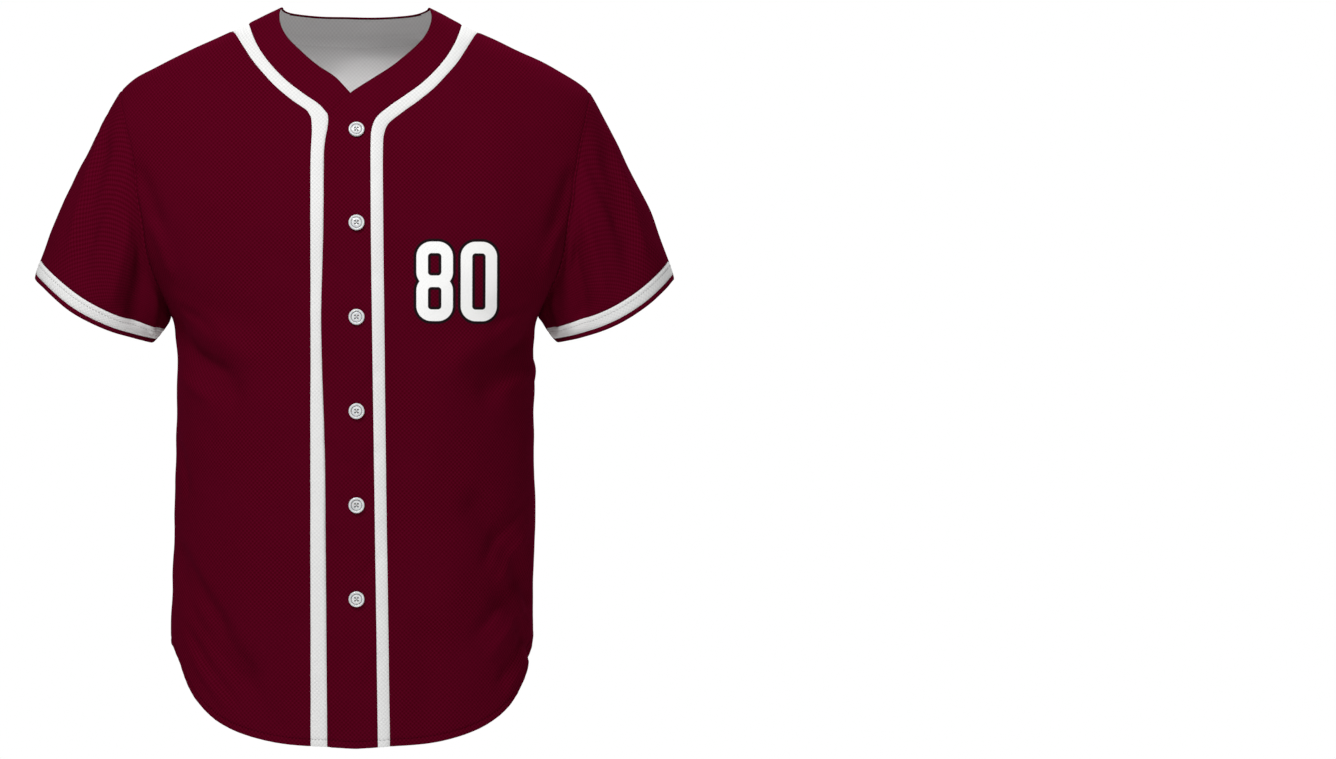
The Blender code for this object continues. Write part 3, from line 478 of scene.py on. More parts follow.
@dataclass
class BodyForm:
    """The smooth form of the worn body of the jersey, with its folds."""

    section_power: float = 2.3
    arc_per_degree: float = 2.8
    crease_steps: int = 7
    crease_fade: float = 0.3
    crease_gain: float = 2.2
    fold_gain: float = 1.4
    ripple: Ripple = field(default_factory=Ripple)

    def base(self, angle: np.ndarray, height: np.ndarray) -> np.ndarray:
        """Points of the form before its folds."""
        angle, height = np.broadcast_arrays(np.asarray(angle, float), np.asarray(height, float))
        half_width = smooth_column(LEVELS, "half_width", height)
        front = smooth_column(LEVELS, "front", height)
        back = smooth_column(LEVELS, "back", height)
        sine, cosine = np.sin(np.radians(angle)), np.cos(np.radians(angle))
        power = 2.0 / self.section_power
        x = half_width * np.sign(sine) * np.abs(sine) ** power
        depth = np.where(cosine >= 0, front, back)
        y = -depth * np.sign(cosine) * np.abs(cosine) ** power
        return np.stack([x, y, height], axis=-1)

    def outward(self, angle: np.ndarray, height: np.ndarray) -> np.ndarray:
        """Directions out of the form."""
        across = self.base(angle + 1.0, height) - self.base(angle - 1.0, height)
        upward = self.base(angle, height + 2.0) - self.base(angle, height - 2.0)
        return unit(np.cross(across, upward))

    def angle_at(self, offset: np.ndarray, height: np.ndarray, face: Face = Face.FRONT) -> np.ndarray:
        """Angle where a face of the body is this far from the middle."""
        half_width = smooth_column(LEVELS, "half_width", height)
        share = np.clip(np.abs(offset) / half_width, 0.0, 1.0)
        turn = np.degrees(np.arcsin(share ** (self.section_power / 2.0)))
        from_middle = np.sign(offset) * turn
        return from_middle if face is Face.FRONT else 180.0 - from_middle

    def arc(self, angle: np.ndarray, height: np.ndarray, face: Face) -> np.ndarray:
        """Length along a level section from the middle of a face, in millimetres."""
        steps = 24
        turn = wrap_degrees(angle - face.value)
        total = np.zeros(np.shape(turn))
        last = self.base(np.full(np.shape(turn), face.value), height)
        for step in range(1, steps + 1):
            point = self.base(face.value + turn * step / steps, height)
            total += np.linalg.norm(point - last, axis=-1)
            last = point
        return total * np.sign(turn)

    def crease_depth(self, angle: np.ndarray, height: np.ndarray) -> np.ndarray:
        """Sum of the bent creases, each fading out at its two ends."""
        total = np.zeros(np.broadcast(angle, height).shape)
        steps = np.linspace(0.0, 1.0, self.crease_steps + 1)
        for crease in BODY_CREASES:
            x = (1 - steps) ** 2 * crease.x + 2 * steps * (1 - steps) * crease.bend_x
            x = x + steps**2 * crease.to_x
            z = (1 - steps) ** 2 * crease.z + 2 * steps * (1 - steps) * crease.bend_z
            z = z + steps**2 * crease.to_z
            turns = self.angle_at(x, z, crease.face)
            closest = np.full(total.shape, np.inf)
            place = np.zeros(total.shape)
            for i in range(self.crease_steps):
                run = (wrap_degrees(turns[i + 1] - turns[i]) * self.arc_per_degree, z[i + 1] - z[i])
                away = (wrap_degrees(angle - turns[i]) * self.arc_per_degree, height - z[i])
                part = (away[0] * run[0] + away[1] * run[1]) / (run[0] ** 2 + run[1] ** 2)
                part = np.clip(part, 0.0, 1.0)
                gap = np.hypot(away[0] - part * run[0], away[1] - part * run[1])
                nearer = gap < closest
                closest = np.where(nearer, gap, closest)
                place = np.where(nearer, (i + part) / self.crease_steps, place)
            fade = smooth_step(np.minimum(place, 1 - place) / self.crease_fade)
            total += crease.depth * fade * bell(closest, crease.half_width)
        return total

    def relief(self, angle: np.ndarray, height: np.ndarray) -> np.ndarray:
        """How far folds, creases and unevenness lift each place, as directions in space."""
        depth = fold_depth(BODY_FOLDS, angle, height, (self.arc_per_degree, 1.0)) * self.fold_gain
        depth = depth + self.crease_depth(angle, height) * self.crease_gain
        depth = depth + self.ripple.at(self.base(angle, height))
        return self.outward(angle, height) * depth[..., None]

    def at(self, angle: np.ndarray, height: np.ndarray) -> Surface:
        """Points of the form with its folds, and the directions out of it."""
        outward = self.outward(angle, height)
        return self.base(angle, height) + self.relief(angle, height), outward


@dataclass
class Pattern:
    """The cut lines of the body, each an angle and a height by row."""

    body: BodyForm = field(default_factory=BodyForm)
    hem_at_side: float = -611.0
    back_hem_share: float = 1.033
    armpit_row: float = 14.0
    top_row: float = 33.0
    shoulder_height: float = -43.3
    armpit_height: float = -275.0
    front_depth: float = 72.0
    back_depth: float = 70.0
    hem_row_length: float = 24.0
    arm_row_length: float = 14.0

    @property
    def arm_steps(self) -> float:
        """Rows from the armpit to the shoulder."""
        return self.top_row - self.armpit_row

    def hem(self, angle: np.ndarray) -> np.ndarray:
        """Height of the hem at an angle round the body."""
        turn = np.abs(wrap_degrees(angle))
        share = np.where(turn > 90.0, self.back_hem_share, 1.0)
        from_middle = np.minimum(turn, 180.0 - turn)
        return self.hem_at_side - share * smooth_column(HEM_CURVE, "drop", from_middle)

    def side(self, row: np.ndarray, back: bool) -> Places:
        """Side seam and armhole of the wearer's left, by row."""
        row = np.asarray(row, float)
        climb = np.clip((row - self.armpit_row) / self.arm_steps, 0.0, 1.0) * math.pi
        middle = (self.shoulder_height + self.armpit_height) / 2
        half_height = (self.shoulder_height - self.armpit_height) / 2
        on_armhole = middle - half_height * np.cos(climb)
        share = np.clip(row / self.armpit_row, 0.0, 1.0)
        on_side = self.hem_at_side + (self.armpit_height - self.hem_at_side) * share
        height = np.where(row > self.armpit_row, on_armhole, on_side)
        reach = (self.back_depth if back else self.front_depth) * np.sin(climb)
        full = smooth_column(LEVELS, "back" if back else "front", height)
        share = np.clip(reach / full, 0.0, 1.0) ** (self.body.section_power / 2.0)
        angle = np.degrees(np.arccos(share))
        return (180.0 - angle if back else angle), height

    def rows(self, spacing: float, near_hem: Sequence[float], near_top: Sequence[float]) -> np.ndarray:
        """Rows of a fine grid from the hem to the shoulder.

        Args:
            spacing: Distance between rows away from the edges.
            near_hem: Distances above the hem that have a row.
            near_top: Distances below the shoulder that have a row.

        Returns:
            Row numbers, whole and part.
        """
        hem = np.array([0.0, *near_hem]) / self.hem_row_length
        side_count = round(self.armpit_row * self.hem_row_length / spacing)
        side = np.linspace(hem[-1], self.armpit_row, side_count)
        count = round(self.arm_steps * self.arm_row_length / spacing)
        top = self.top_row - np.array([0.0, *near_top]) / self.arm_row_length
        arm = np.linspace(self.armpit_row, top[-1], count)
        return np.concatenate([hem, side[1:], arm[1:], top[::-1][1:]])

    def front_line(self, lines: tuple, name: str, row: np.ndarray, side: int) -> Places:
        """One line of a front, by row."""
        offset = smooth_column(lines, name, row)
        height = smooth_column(lines, name + "_z", row)
        return side * self.body.angle_at(offset, height), height

    def front_strip(
        self, lines: tuple, first: str, last: str, rows: np.ndarray, shares: np.ndarray, side: int
    ) -> Places:
        """Grid of places between two lines of a front."""
        start = self.front_line(lines, first, rows[:, None], side)
        end = self.front_line(lines, last, rows[:, None], side)
        angle, height = (a + (b - a) * shares[None, :] for a, b in zip(start, end))
        lift = self.hem(angle[0]) - height[0]
        share = np.clip(1 - rows / self.armpit_row, 0.0, 1.0)[:, None] ** 3
        return angle, height + share * lift

    @staticmethod
    def filled(
        left: Places, right: Places, foot: Places, top: Places, v: np.ndarray, u: np.ndarray
    ) -> Places:
        """Grid of places that meets four edge lines.

        Args:
            left, right: The two side lines, by row.
            foot, top: The lines of the first and last rows.
            v: Share of the height of each row.
            u: Share of the width of each column.

        Returns:
            Angles and heights, rows by columns.
        """
        v, u = v[:, None], u[None, :]
        grids = []
        for a, b, c, d in zip(left, right, foot, top):
            straight = (1 - u) * a[:, None] + u * b[:, None]
            foot_extra = c - (c[0] + (c[-1] - c[0]) * u[0])
            top_extra = d - (d[0] + (d[-1] - d[0]) * u[0])
            grids.append(straight + (1 - v) ** 1.5 * foot_extra + v**3 * top_extra)
        return grids[0], grids[1]

    def front_panel(self, lines: tuple, side: int, rows: np.ndarray, shares: np.ndarray) -> Places:
        """Grid of places of a front panel, from its stripe to its side seam and armhole."""
        inner_angle, inner_height = self.front_line(lines, "outer", rows, side)
        inner_height = inner_height + self.hem_lift(inner_angle[0], inner_height[0], rows)
        outer_angle, outer_height = self.side(rows, back=False)
        outer_angle = side * outer_angle
        foot_angle = inner_angle[0] + (outer_angle[0] - inner_angle[0]) * shares
        top_height = inner_height[-1] + (outer_height[-1] - inner_height[-1]) * shares
        return self.filled(
            (inner_angle, inner_height),
            (outer_angle, outer_height),
            (foot_angle, self.hem(foot_angle)),
            (np.full(len(shares), side * 90.0), top_height),
            rows / self.top_row,
            shares,
        )

    def hem_lift(self, angle: float, height: float, rows: np.ndarray) -> np.ndarray:
        """Small lift that brings the foot of a line onto the hem, spread up the line."""
        share = np.clip(1 - rows / self.armpit_row, 0.0, 1.0) ** 3
        return (self.hem(np.array(angle)) - height) * share

    def back_neck(self, line: BackNeckLine, shares: np.ndarray) -> Places:
        """A line across the back neck, from the wearer's left to the right."""
        angle = 90.0 + 180.0 * shares
        drop = line.ridge_height - line.middle_height
        height = line.middle_height + drop * np.abs(np.sin(np.radians(angle - 180.0))) ** line.power
        return angle, height

    def back_panel(self, rows: np.ndarray, shoulder: np.ndarray, neck: np.ndarray) -> Places:
        """Grid of places of the back panel, from the wearer's left to the right.

        Args:
            rows: Rows from hem to shoulder.
            shoulder: Shares along one shoulder seam, armhole to neck.
            neck: Shares across the neck.

        Returns:
            Angles and heights.
        """
        left_angle, left_height = self.side(rows, back=True)
        neck_angle, neck_height = self.back_neck(BACK_STRIPE_FOOT, neck)
        seam = self.shoulder_height + (BACK_STRIPE_FOOT.ridge_height - self.shoulder_height) * shoulder
        ridge = np.full(len(seam) - 1, 90.0)
        top_angle = np.concatenate([ridge, neck_angle, ridge + 180.0])
        top_height = np.concatenate([seam[:-1], neck_height, seam[::-1][1:]])
        seam_columns, neck_columns = 9.0, 10.0
        total = 2 * seam_columns + neck_columns
        shares = np.concatenate(
            [
                shoulder[:-1] * seam_columns,
                seam_columns + neck * neck_columns,
                total - shoulder[::-1][1:] * seam_columns,
            ]
        ) / total
        foot_angle = left_angle[0] + (360.0 - 2 * left_angle[0]) * shares
        return self.filled(
            (left_angle, left_height),
            (360.0 - left_angle, left_height),
            (foot_angle, self.hem(foot_angle)),
            (top_angle, top_height),
            rows / self.top_row,
            shares,
        )


@dataclass
class SleeveForm:
    """The form of one sleeve, from its armhole to its cuff."""

    side: int
    pattern: Pattern
    cuff_top: tuple = (328.0, 0.0, -237.0)
    cuff_underarm: tuple = (208.0, 0.0, -302.0)
    cuff_half_depth: float = 61.0
    cuff_sag: float = 12.5
    rounding_all: float = 1.5
    rounding_faces: float = 4.0
    rounding_top: float = 6.2
    rounding_power: float = 0.6
    armhole_x: float = 215.0
    arc_per_degree: float = 1.15
    fold_length: float = 130.0
    fold_gain: float = 1.7
    cuff_hold: float = 0.94
    hold_from: float = 0.62
    hold_over: float = 0.25
    own_by: float = 0.22
    tuck: float = 3.2
    tuck_start: float = 3.0
    tuck_width: float = 22.0

    def base(self, step: np.ndarray, along: np.ndarray) -> np.ndarray:
        """Points by step round the armhole and share of the length, before the folds."""
        step, along = np.broadcast_arrays(np.asarray(step, float), np.asarray(along, float))
        pattern, steps = self.pattern, self.pattern.arm_steps
        step = step % (2 * steps)
        to_back = step > steps
        row = np.where(to_back, step - steps + pattern.armpit_row, pattern.top_row - step)
        front = pattern.body.base(*pattern.side(row, back=False))
        back = pattern.body.base(*pattern.side(row, back=True))
        start = np.where(to_back[..., None], back, front)
        top, underarm = np.array(self.cuff_top), np.array(self.cuff_underarm)
        turn = np.pi * step / steps
        half = (top - underarm) / 2
        down = unit(np.array([half[2], 0.0, -half[0]]))
        cosine, sine = np.cos(turn)[..., None], np.sin(turn)[..., None]
        depth = np.array([0.0, -self.cuff_half_depth, 0.0])
        end = (top + underarm) / 2 + half * cosine + depth * sine + self.cuff_sag * sine**2 * down
        straight = start + (end - start) * along[..., None]
        level = (pattern.shoulder_height + pattern.armpit_height) / 2
        armhole = np.array([self.armhole_x, 0.0, level])
        axis = armhole + ((top + underarm) / 2 - armhole) * along[..., None]
        faces = self.rounding_faces * np.sin(turn) ** 2
        rounding = self.rounding_all + faces + self.rounding_top * ((1 + np.cos(turn)) / 2) ** 2
        swell = rounding * np.maximum(np.sin(np.pi * along), 0.0) ** self.rounding_power
        points = straight + unit(straight - axis) * swell[..., None]
        return points * np.array([self.side, 1.0, 1.0])

    def at(self, step: np.ndarray, along: np.ndarray) -> Surface:
        """Points with their folds, and the directions out of the sleeve."""
        step, along = np.broadcast_arrays(np.asarray(step, float), np.asarray(along, float))
        low, high = np.maximum(along - 0.02, 0.0), np.minimum(along + 0.02, 1.0)
        around = self.base(step + 0.5, along) - self.base(step - 0.5, along)
        lengthwise = self.base(step, high) - self.base(step, low)
        outward = unit(np.cross(around, lengthwise)) * self.side
        turn = 180.0 * step / self.pattern.arm_steps
        folds = [fold for fold in SLEEVE_FOLDS + SLEEVE_CREASES if fold.side == self.side]
        depth = fold_depth(folds, turn, along, (self.arc_per_degree, self.fold_length)) * self.fold_gain
        depth = depth * (1 - self.cuff_hold * smooth_step((along - self.hold_from) / self.hold_over))
        base = self.base(step, along)
        depth = depth + self.pattern.body.ripple.at(base)
        own_share = smooth_step(along / self.own_by)
        reach = along * self.fold_length
        near_armhole = smooth_step(reach / self.tuck_start) * bell(reach, self.tuck_width)
        tuck = self.tuck * np.sin(np.radians(turn)) ** 2 * near_armhole
        relief = outward * (depth * own_share - tuck)[..., None]
        return base + relief + self.body_relief(step) * (1 - own_share)[..., None], outward

    def body_relief(self, step: np.ndarray) -> np.ndarray:
        """Relief of the body where the sleeve is sewn on, so that both edges stay together."""
        steps = self.pattern.arm_steps
        turned = wrap_degrees(step * 180.0 / steps) * steps / 180.0
        angle, height = self.pattern.side(self.pattern.top_row - np.abs(turned), back=False)
        rear_angle, rear_height = self.pattern.side(self.pattern.top_row - np.abs(turned), back=True)
        behind = turned < 0
        return self.pattern.body.relief(
            self.side * np.where(behind, rear_angle, angle), np.where(behind, rear_height, height)
        )

    def length(self, step: np.ndarray) -> np.ndarray:
        """Length of the sleeve along each step, in millimetres."""
        return np.linalg.norm(self.base(step, 1.0) - self.base(step, 0.0), axis=-1)

    def share_above_cuff(self, width: float, step: np.ndarray) -> np.ndarray:
        """Share of the length at which a width is left to the end of the cuff."""
        return 1.0 - width / self.length(step)


class Signal:
    """A socket of a finish, with the arithmetic that the finish does on it."""

    def __init__(self, board: "Board", socket: bpy.types.NodeSocket) -> None:
        """Keep the socket and the board that its nodes go on."""
        self.board = board
        self.socket = socket

    def math(self, operation: str, *others: "Signal | float") -> "Signal":
        """Result of a Math node on this value and up to two others."""
        node = self.board.node("ShaderNodeMath", {"operation": operation}, [self, *others])
        return Signal(self.board, node.outputs[0])

    def __add__(self, other: "Signal | float") -> "Signal":
        """Sum."""
        return self.math("ADD", other)

    def __radd__(self, other: float) -> "Signal":
        """Sum with a number on the left."""
        return self.math("ADD", other)

    def __sub__(self, other: "Signal | float") -> "Signal":
        """Difference."""
        return self.math("SUBTRACT", other)

    def __rsub__(self, other: float) -> "Signal":
        """Difference from a number."""
        return (self * -1.0) + other

    def __mul__(self, other: "Signal | float") -> "Signal":
        """Product."""
        return self.math("MULTIPLY", other)

    def __rmul__(self, other: float) -> "Signal":
        """Product with a number on the left."""
        return self.math("MULTIPLY", other)

    def __truediv__(self, other: "Signal | float") -> "Signal":
        """Quotient."""
        return self.math("DIVIDE", other)

    def __abs__(self) -> "Signal":
        """Size without its sign."""
        return self.math("ABSOLUTE")

    def sine(self) -> "Signal":
        """Sine of an angle in radians."""
        return self.math("SINE")

    def least(self, other: "Signal | float") -> "Signal":
        """The smaller of two values."""
        return self.math("MINIMUM", other)

    def most(self, other: "Signal | float") -> "Signal":
        """The larger of two values."""
        return self.math("MAXIMUM", other)

    def ramp(self, low: float, high: float, start: float = 0.0, end: float = 1.0) -> "Signal":
        """Smooth change from one value to another as this one goes from low to high."""
        settings = {"interpolation_type": "SMOOTHSTEP"}
        node = self.board.node("ShaderNodeMapRange", settings, [self, low, high, start, end])
        return Signal(self.board, node.outputs[0])


class Board:
    """The nodes of one material."""

    def __init__(self, name: str, colour: Colour) -> None:
        """Make a material with one Principled shader.

        Args:
            name: The material's name.
            colour: Its plain colour, which a solid view shows.
        """
        self.material = bpy.data.materials.new(name)
        self.material.use_nodes = True
        self.material.diffuse_color = (*colour, 1.0)
        self.tree = self.material.node_tree
        self.shader = self.tree.nodes["Principled BSDF"]

    def node(
        self, kind: str, settings: dict | None = None, inputs: dict | list | None = None
    ) -> bpy.types.Node:
        """Make a node.

        Args:
            kind: The node's type.
            settings: Its properties, set first.
            inputs: Values or links of its sockets, by place or by name.

        Returns:
            The node.
        """
        made = self.tree.nodes.new(kind)
        for name, value in (settings or {}).items():
            setattr(made, name, value)
        pairs = inputs.items() if isinstance(inputs, dict) else enumerate(inputs or [])
        for key, value in pairs:
            self.feed(made.inputs[key], value)
        return made

    def feed(self, socket: bpy.types.NodeSocket, value: object) -> None:
        """Link a socket to a signal, or set its value."""
        if isinstance(value, Signal):
            self.tree.links.new(value.socket, socket)
        else:
            socket.default_value = value

    def signal(self, node: bpy.types.Node, output: str | int = 0) -> Signal:
        """One output of a node."""
        return Signal(self, node.outputs[output])

    def mix(self, share: Signal, start: object, end: object) -> Signal:
        """A colour between two colours or signals."""
        node = self.node("ShaderNodeMix", {"data_type": "RGBA"}, {0: share})
        for index, colour in ((6, start), (7, end)):
            value = colour if isinstance(colour, Signal) else (*colour, 1.0)
            self.feed(node.inputs[index], value)
        return Signal(self, node.outputs[2])

    def split(self, vector: Signal) -> tuple[Signal, Signal, Signal]:
        """The three parts of a vector."""
        node = self.node("ShaderNodeSeparateXYZ", None, [vector])
        return tuple(Signal(self, output) for output in node.outputs)

    def noise(self, vector: Signal, scale: float, detail: float = 2.0) -> Signal:
        """Soft noise around 0.5."""
        inputs = {"Vector": vector, "Scale": scale, "Detail": detail}
        return self.signal(self.node("ShaderNodeTexNoise", None, inputs), "Fac")

    def bump(self, height: Signal, distance: float, strength: float) -> None:
        """Feed the shader's normal from a height in millimetres of relief."""
        inputs = {"Height": height, "Distance": distance * MM, "Strength": strength}
        self.feed(self.shader.inputs["Normal"], self.signal(self.node("ShaderNodeBump", None, inputs)))

    def constant(self, **values: object) -> None:
        """Set sockets of the shader that are the same all over."""
        for name, value in values.items():
            self.shader.inputs[name.replace("_", " ")].default_value = value


class Digit(Enum):
    """Figures of the plain number."""

    EIGHT = 8
    NOUGHT = 0


@dataclass(frozen=True)
class PrintedNumber:
    """A plain two-figure number, white with a dark outline, printed flat on the cloth."""

    centre_x: float
    centre_z: float
    height: float
    facing: int
    digits: tuple[Digit, ...] = (Digit.EIGHT, Digit.NOUGHT)
    width_share: float = 0.46
    gap_share: float = 0.10
    stroke_share: float = 0.145
    outline_share: float = 0.036
    corner_share: float = 0.19
    soft_edge: float = 0.35
    white: Colour = (0.93, 0.93, 0.92)
    dark: Colour = (0.012, 0.006, 0.008)

    def ring(self, across: Signal, up: Signal, half_height: float) -> Signal:
        """Distance to a ring with rounded corners, in millimetres, less than 0 inside it."""
        half_width = self.height * self.width_share / 2
        corner = self.height * self.corner_share
        stroke = self.height * self.stroke_share
        beside = abs(across) - (half_width - corner)
        above = abs(up) - (half_height - corner)
        outside_squared = beside.most(0.0) * beside.most(0.0) + above.most(0.0) * above.most(0.0)
        box = outside_squared.math("SQRT") + beside.most(above).least(0.0) - corner
        return abs(box + stroke / 2) - stroke / 2

    def paint(self, board: Board, cloth: Signal) -> tuple[Signal, Signal]:
        """Print the number on a cloth colour.

        Args:
            board: The finish's nodes.
            cloth: Colour of the cloth.

        Returns:
            The colour with the number, and the share that is covered by it.
        """
        place = board.signal(board.node("ShaderNodeTexCoord"), "Object")
        x, _, z = board.split(place)
        across = (x / MM - self.centre_x) * float(self.facing)
        up = z / MM - self.centre_z
        pitch = self.height * (self.width_share + self.gap_share)
        stroke = self.height * self.stroke_share
        nearest = None
        for index, digit in enumerate(self.digits):
            offset = across - pitch * (index - (len(self.digits) - 1) / 2)
            if digit is Digit.EIGHT:
                half_loop = (self.height / 2 + stroke / 2) / 2
                loop_middle = (self.height / 2 - stroke / 2) / 2
                gap = self.ring(offset, abs(up) - loop_middle, half_loop)
            else:
                gap = self.ring(offset, up, self.height / 2)
            nearest = gap if nearest is None else nearest.least(gap)
        outline = self.height * self.outline_share
        covered = nearest.ramp(outline - self.soft_edge, outline + self.soft_edge, 1.0, 0.0)
        inside = nearest.ramp(-self.soft_edge, self.soft_edge, 1.0, 0.0)
        return board.mix(inside, board.mix(covered, cloth, self.dark), self.white), covered


@dataclass(frozen=True)
class KnitFinish:
    """Bird's-eye knit: yarn with small eyes in staggered rows, painted darker as shade in the holes."""

    name: str
    yarn: Colour
    # Colour in the small holes: painted shade, darker than the yarn.
    eye: Colour
    roughness: float
    sheen: float
    sheen_tint: Colour = (1.0, 1.0, 1.0)
    eye_pitch: float = 4.2
    stitch_pitch: float = 0.7
    relief: float = 0.16
    patchiness: float = 0.05
    number: PrintedNumber | None = None

    def material(self) -> bpy.types.Material:
        """The knit's material. Its UV map is the flat cloth, in metres."""
        board = Board(self.name, self.yarn)
        chart = board.signal(board.node("ShaderNodeUVMap", {"uv_map": "Cloth"}))
        u, v, _ = board.split(chart)
        turn = 2 * math.pi / (self.eye_pitch * MM)
        lattice = (u * turn).sine() * (v * turn).sine()
        eyes = lattice.ramp(-0.7, 0.7)
        fine = 2 * math.pi / (self.stitch_pitch * MM)
        stitches = (u * fine).sine() * (v * (fine * 0.8)).sine()
        slow = board.noise(chart, 14.0, 3.0)
        fuzz = board.noise(chart, 900.0, 2.0)
        # The eyes take the darker colour: painted shade in the holes.
        colour = board.mix(eyes, self.yarn, self.eye)
        worn = tuple(part * (1 - 3 * self.patchiness) for part in self.yarn)
        colour = board.mix(slow.ramp(0.3, 0.8, 0.0, 0.5), colour, worn)
        height = stitches * 0.12 + fuzz * 0.2 - eyes
        rough = slow * 0.06 + (self.roughness - 0.03)
        if self.number is not None:
            colour, covered = self.number.paint(board, colour)
            height = height * (1 - covered * 0.55)
            rough = rough - covered * 0.08
        board.feed(board.shader.inputs["Base Color"], colour)
        board.feed(board.shader.inputs["Roughness"], rough)
        board.bump(height, self.relief, 0.7)
        board.constant(Sheen_Weight=self.sheen, Sheen_Roughness=0.4)
        board.constant(Sheen_Tint=(*self.sheen_tint, 1.0), Specular_IOR_Level=0.0)
        return board.material


@dataclass(frozen=True)
class ThreadFinish:
    """Spun sewing thread."""

    name: str
    colour: Colour
    roughness: float = 0.55

    def material(self) -> bpy.types.Material:
        """The thread's material."""
        board = Board(self.name, self.colour)
        place = board.signal(board.node("ShaderNodeTexCoord"), "Object")
        twist = board.noise(place, 2600.0, 1.0)
        darker = tuple(part * 0.6 for part in self.colour)
        board.feed(board.shader.inputs["Base Color"], board.mix(twist, self.colour, darker))
        board.feed(board.shader.inputs["Roughness"], twist * 0.15 + self.roughness)
        board.bump(twist, 0.08, 0.5)
        board.constant(Specular_IOR_Level=0.0)
        return board.material


@dataclass(frozen=True)
class PearlFinish:
    """Pearly moulded plastic."""

    name: str = "pearl"
    light: Colour = (0.72, 0.72, 0.72)
    dark: Colour = (0.50, 0.50, 0.51)

    def material(self) -> bpy.types.Material:
        """The buttons' material."""
        board = Board(self.name, self.light)
        place = board.signal(board.node("ShaderNodeTexCoord"), "Object")
        cloud = board.noise(place, 190.0, 3.0)
        share = cloud.ramp(0.35, 0.7, 0.0, 0.5)
        board.feed(board.shader.inputs["Base Color"], board.mix(share, self.light, self.dark))
        board.feed(board.shader.inputs["Roughness"], cloud * 0.12 + 0.22)
        board.constant(Coat_Weight=0.5, Coat_Roughness=0.12, Subsurface_Weight=0.05)
        return board.material


@dataclass
class Finishes:
    """Every material of the jersey, made once."""

    burgundy: Colour = (0.0930, 0.0014, 0.0125)
    # The eye colours are painted shade in the knit's small holes.
    burgundy_eye_shade: Colour = (0.0580, 0.0006, 0.0055)
    white: Colour = (0.79, 0.79, 0.78)
    white_eye_shade: Colour = (0.68, 0.68, 0.68)
    front_number: PrintedNumber = PrintedNumber(102.0, -241.0, 80.0, 1)
    back_number: PrintedNumber = PrintedNumber(0.0, -259.0, 177.0, -1)
    made: dict = field(default_factory=dict)

    def knit(self, name: str, number: PrintedNumber | None = None) -> bpy.types.Material:
        """Burgundy knit, with a number printed on it if one is given."""
        if name not in self.made:
            tint = (0.50, 0.03, 0.12)
            finish = KnitFinish(name, self.burgundy, self.burgundy_eye_shade, 0.78, 0.05, tint, number=number)
            self.made[name] = finish.material()
        return self.made[name]

    def stripe(self) -> bpy.types.Material:
        """White knit of the stripes."""
        if "white stripe" not in self.made:
            finish = KnitFinish("white stripe", self.white, self.white_eye_shade, 0.75, 0.08, patchiness=0.02)
            self.made["white stripe"] = finish.material()
        return self.made["white stripe"]

    def reverse(self) -> bpy.types.Material:
        """Undyed back of the knit, which shows inside the neck."""
        if "undyed reverse" not in self.made:
            # Its eye colour, (0.76, 0.75, 0.75), is painted shade in the small holes.
            finish = KnitFinish(
                "undyed reverse", (0.84, 0.83, 0.83), (0.76, 0.75, 0.75), 0.8, 0.05, patchiness=0.02
            )
            self.made["undyed reverse"] = finish.material()
        return self.made["undyed reverse"]

    def thread(self, slot: Slot) -> bpy.types.Material:
        """Sewing thread that matches a cloth."""
        name = "white thread" if slot is Slot.WHITE else "burgundy thread"
        if name not in self.made:
            colour = (0.50, 0.50, 0.50) if slot is Slot.WHITE else (0.045, 0.001, 0.006)
            self.made[name] = ThreadFinish(name, colour).material()
        return self.made[name]

    def pearl(self, shaded: bool = False) -> bpy.types.Material:
        """Finish of the buttons, or the darker one of their grooves and holes, which is painted shade."""
        name = "shaded pearl" if shaded else "pearl"
        if name not in self.made:
            # The shaded pearl is a darker copy of the pearl: painted shade in the grooves and holes.
            finish = PearlFinish(name, (0.26, 0.26, 0.27), (0.17, 0.17, 0.18)) if shaded else PearlFinish()
            self.made[name] = finish.material()
        return self.made[name]


def place_mesh(name: str, mesh: bpy.types.Mesh, sharp: float = 50.0) -> bpy.types.Object:
    """Put a mesh in the scene as a piece that rides on the jersey.

    Args:
        name: The piece's name.
        mesh: Its mesh, in metres.
        sharp: Angle past which an edge is crisp, in degrees.

    Returns:
        The piece.
    """
    mesh.polygons.foreach_set("use_smooth", np.ones(len(mesh.polygons), bool))
    mesh.set_sharp_from_angle(angle=math.radians(sharp))
    piece = bpy.data.objects.new(name, mesh)
    bpy.context.scene.collection.objects.link(piece)
    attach(piece, BODY_NAME)
    log.info("%s: %d faces", name, len(mesh.polygons))
    return piece


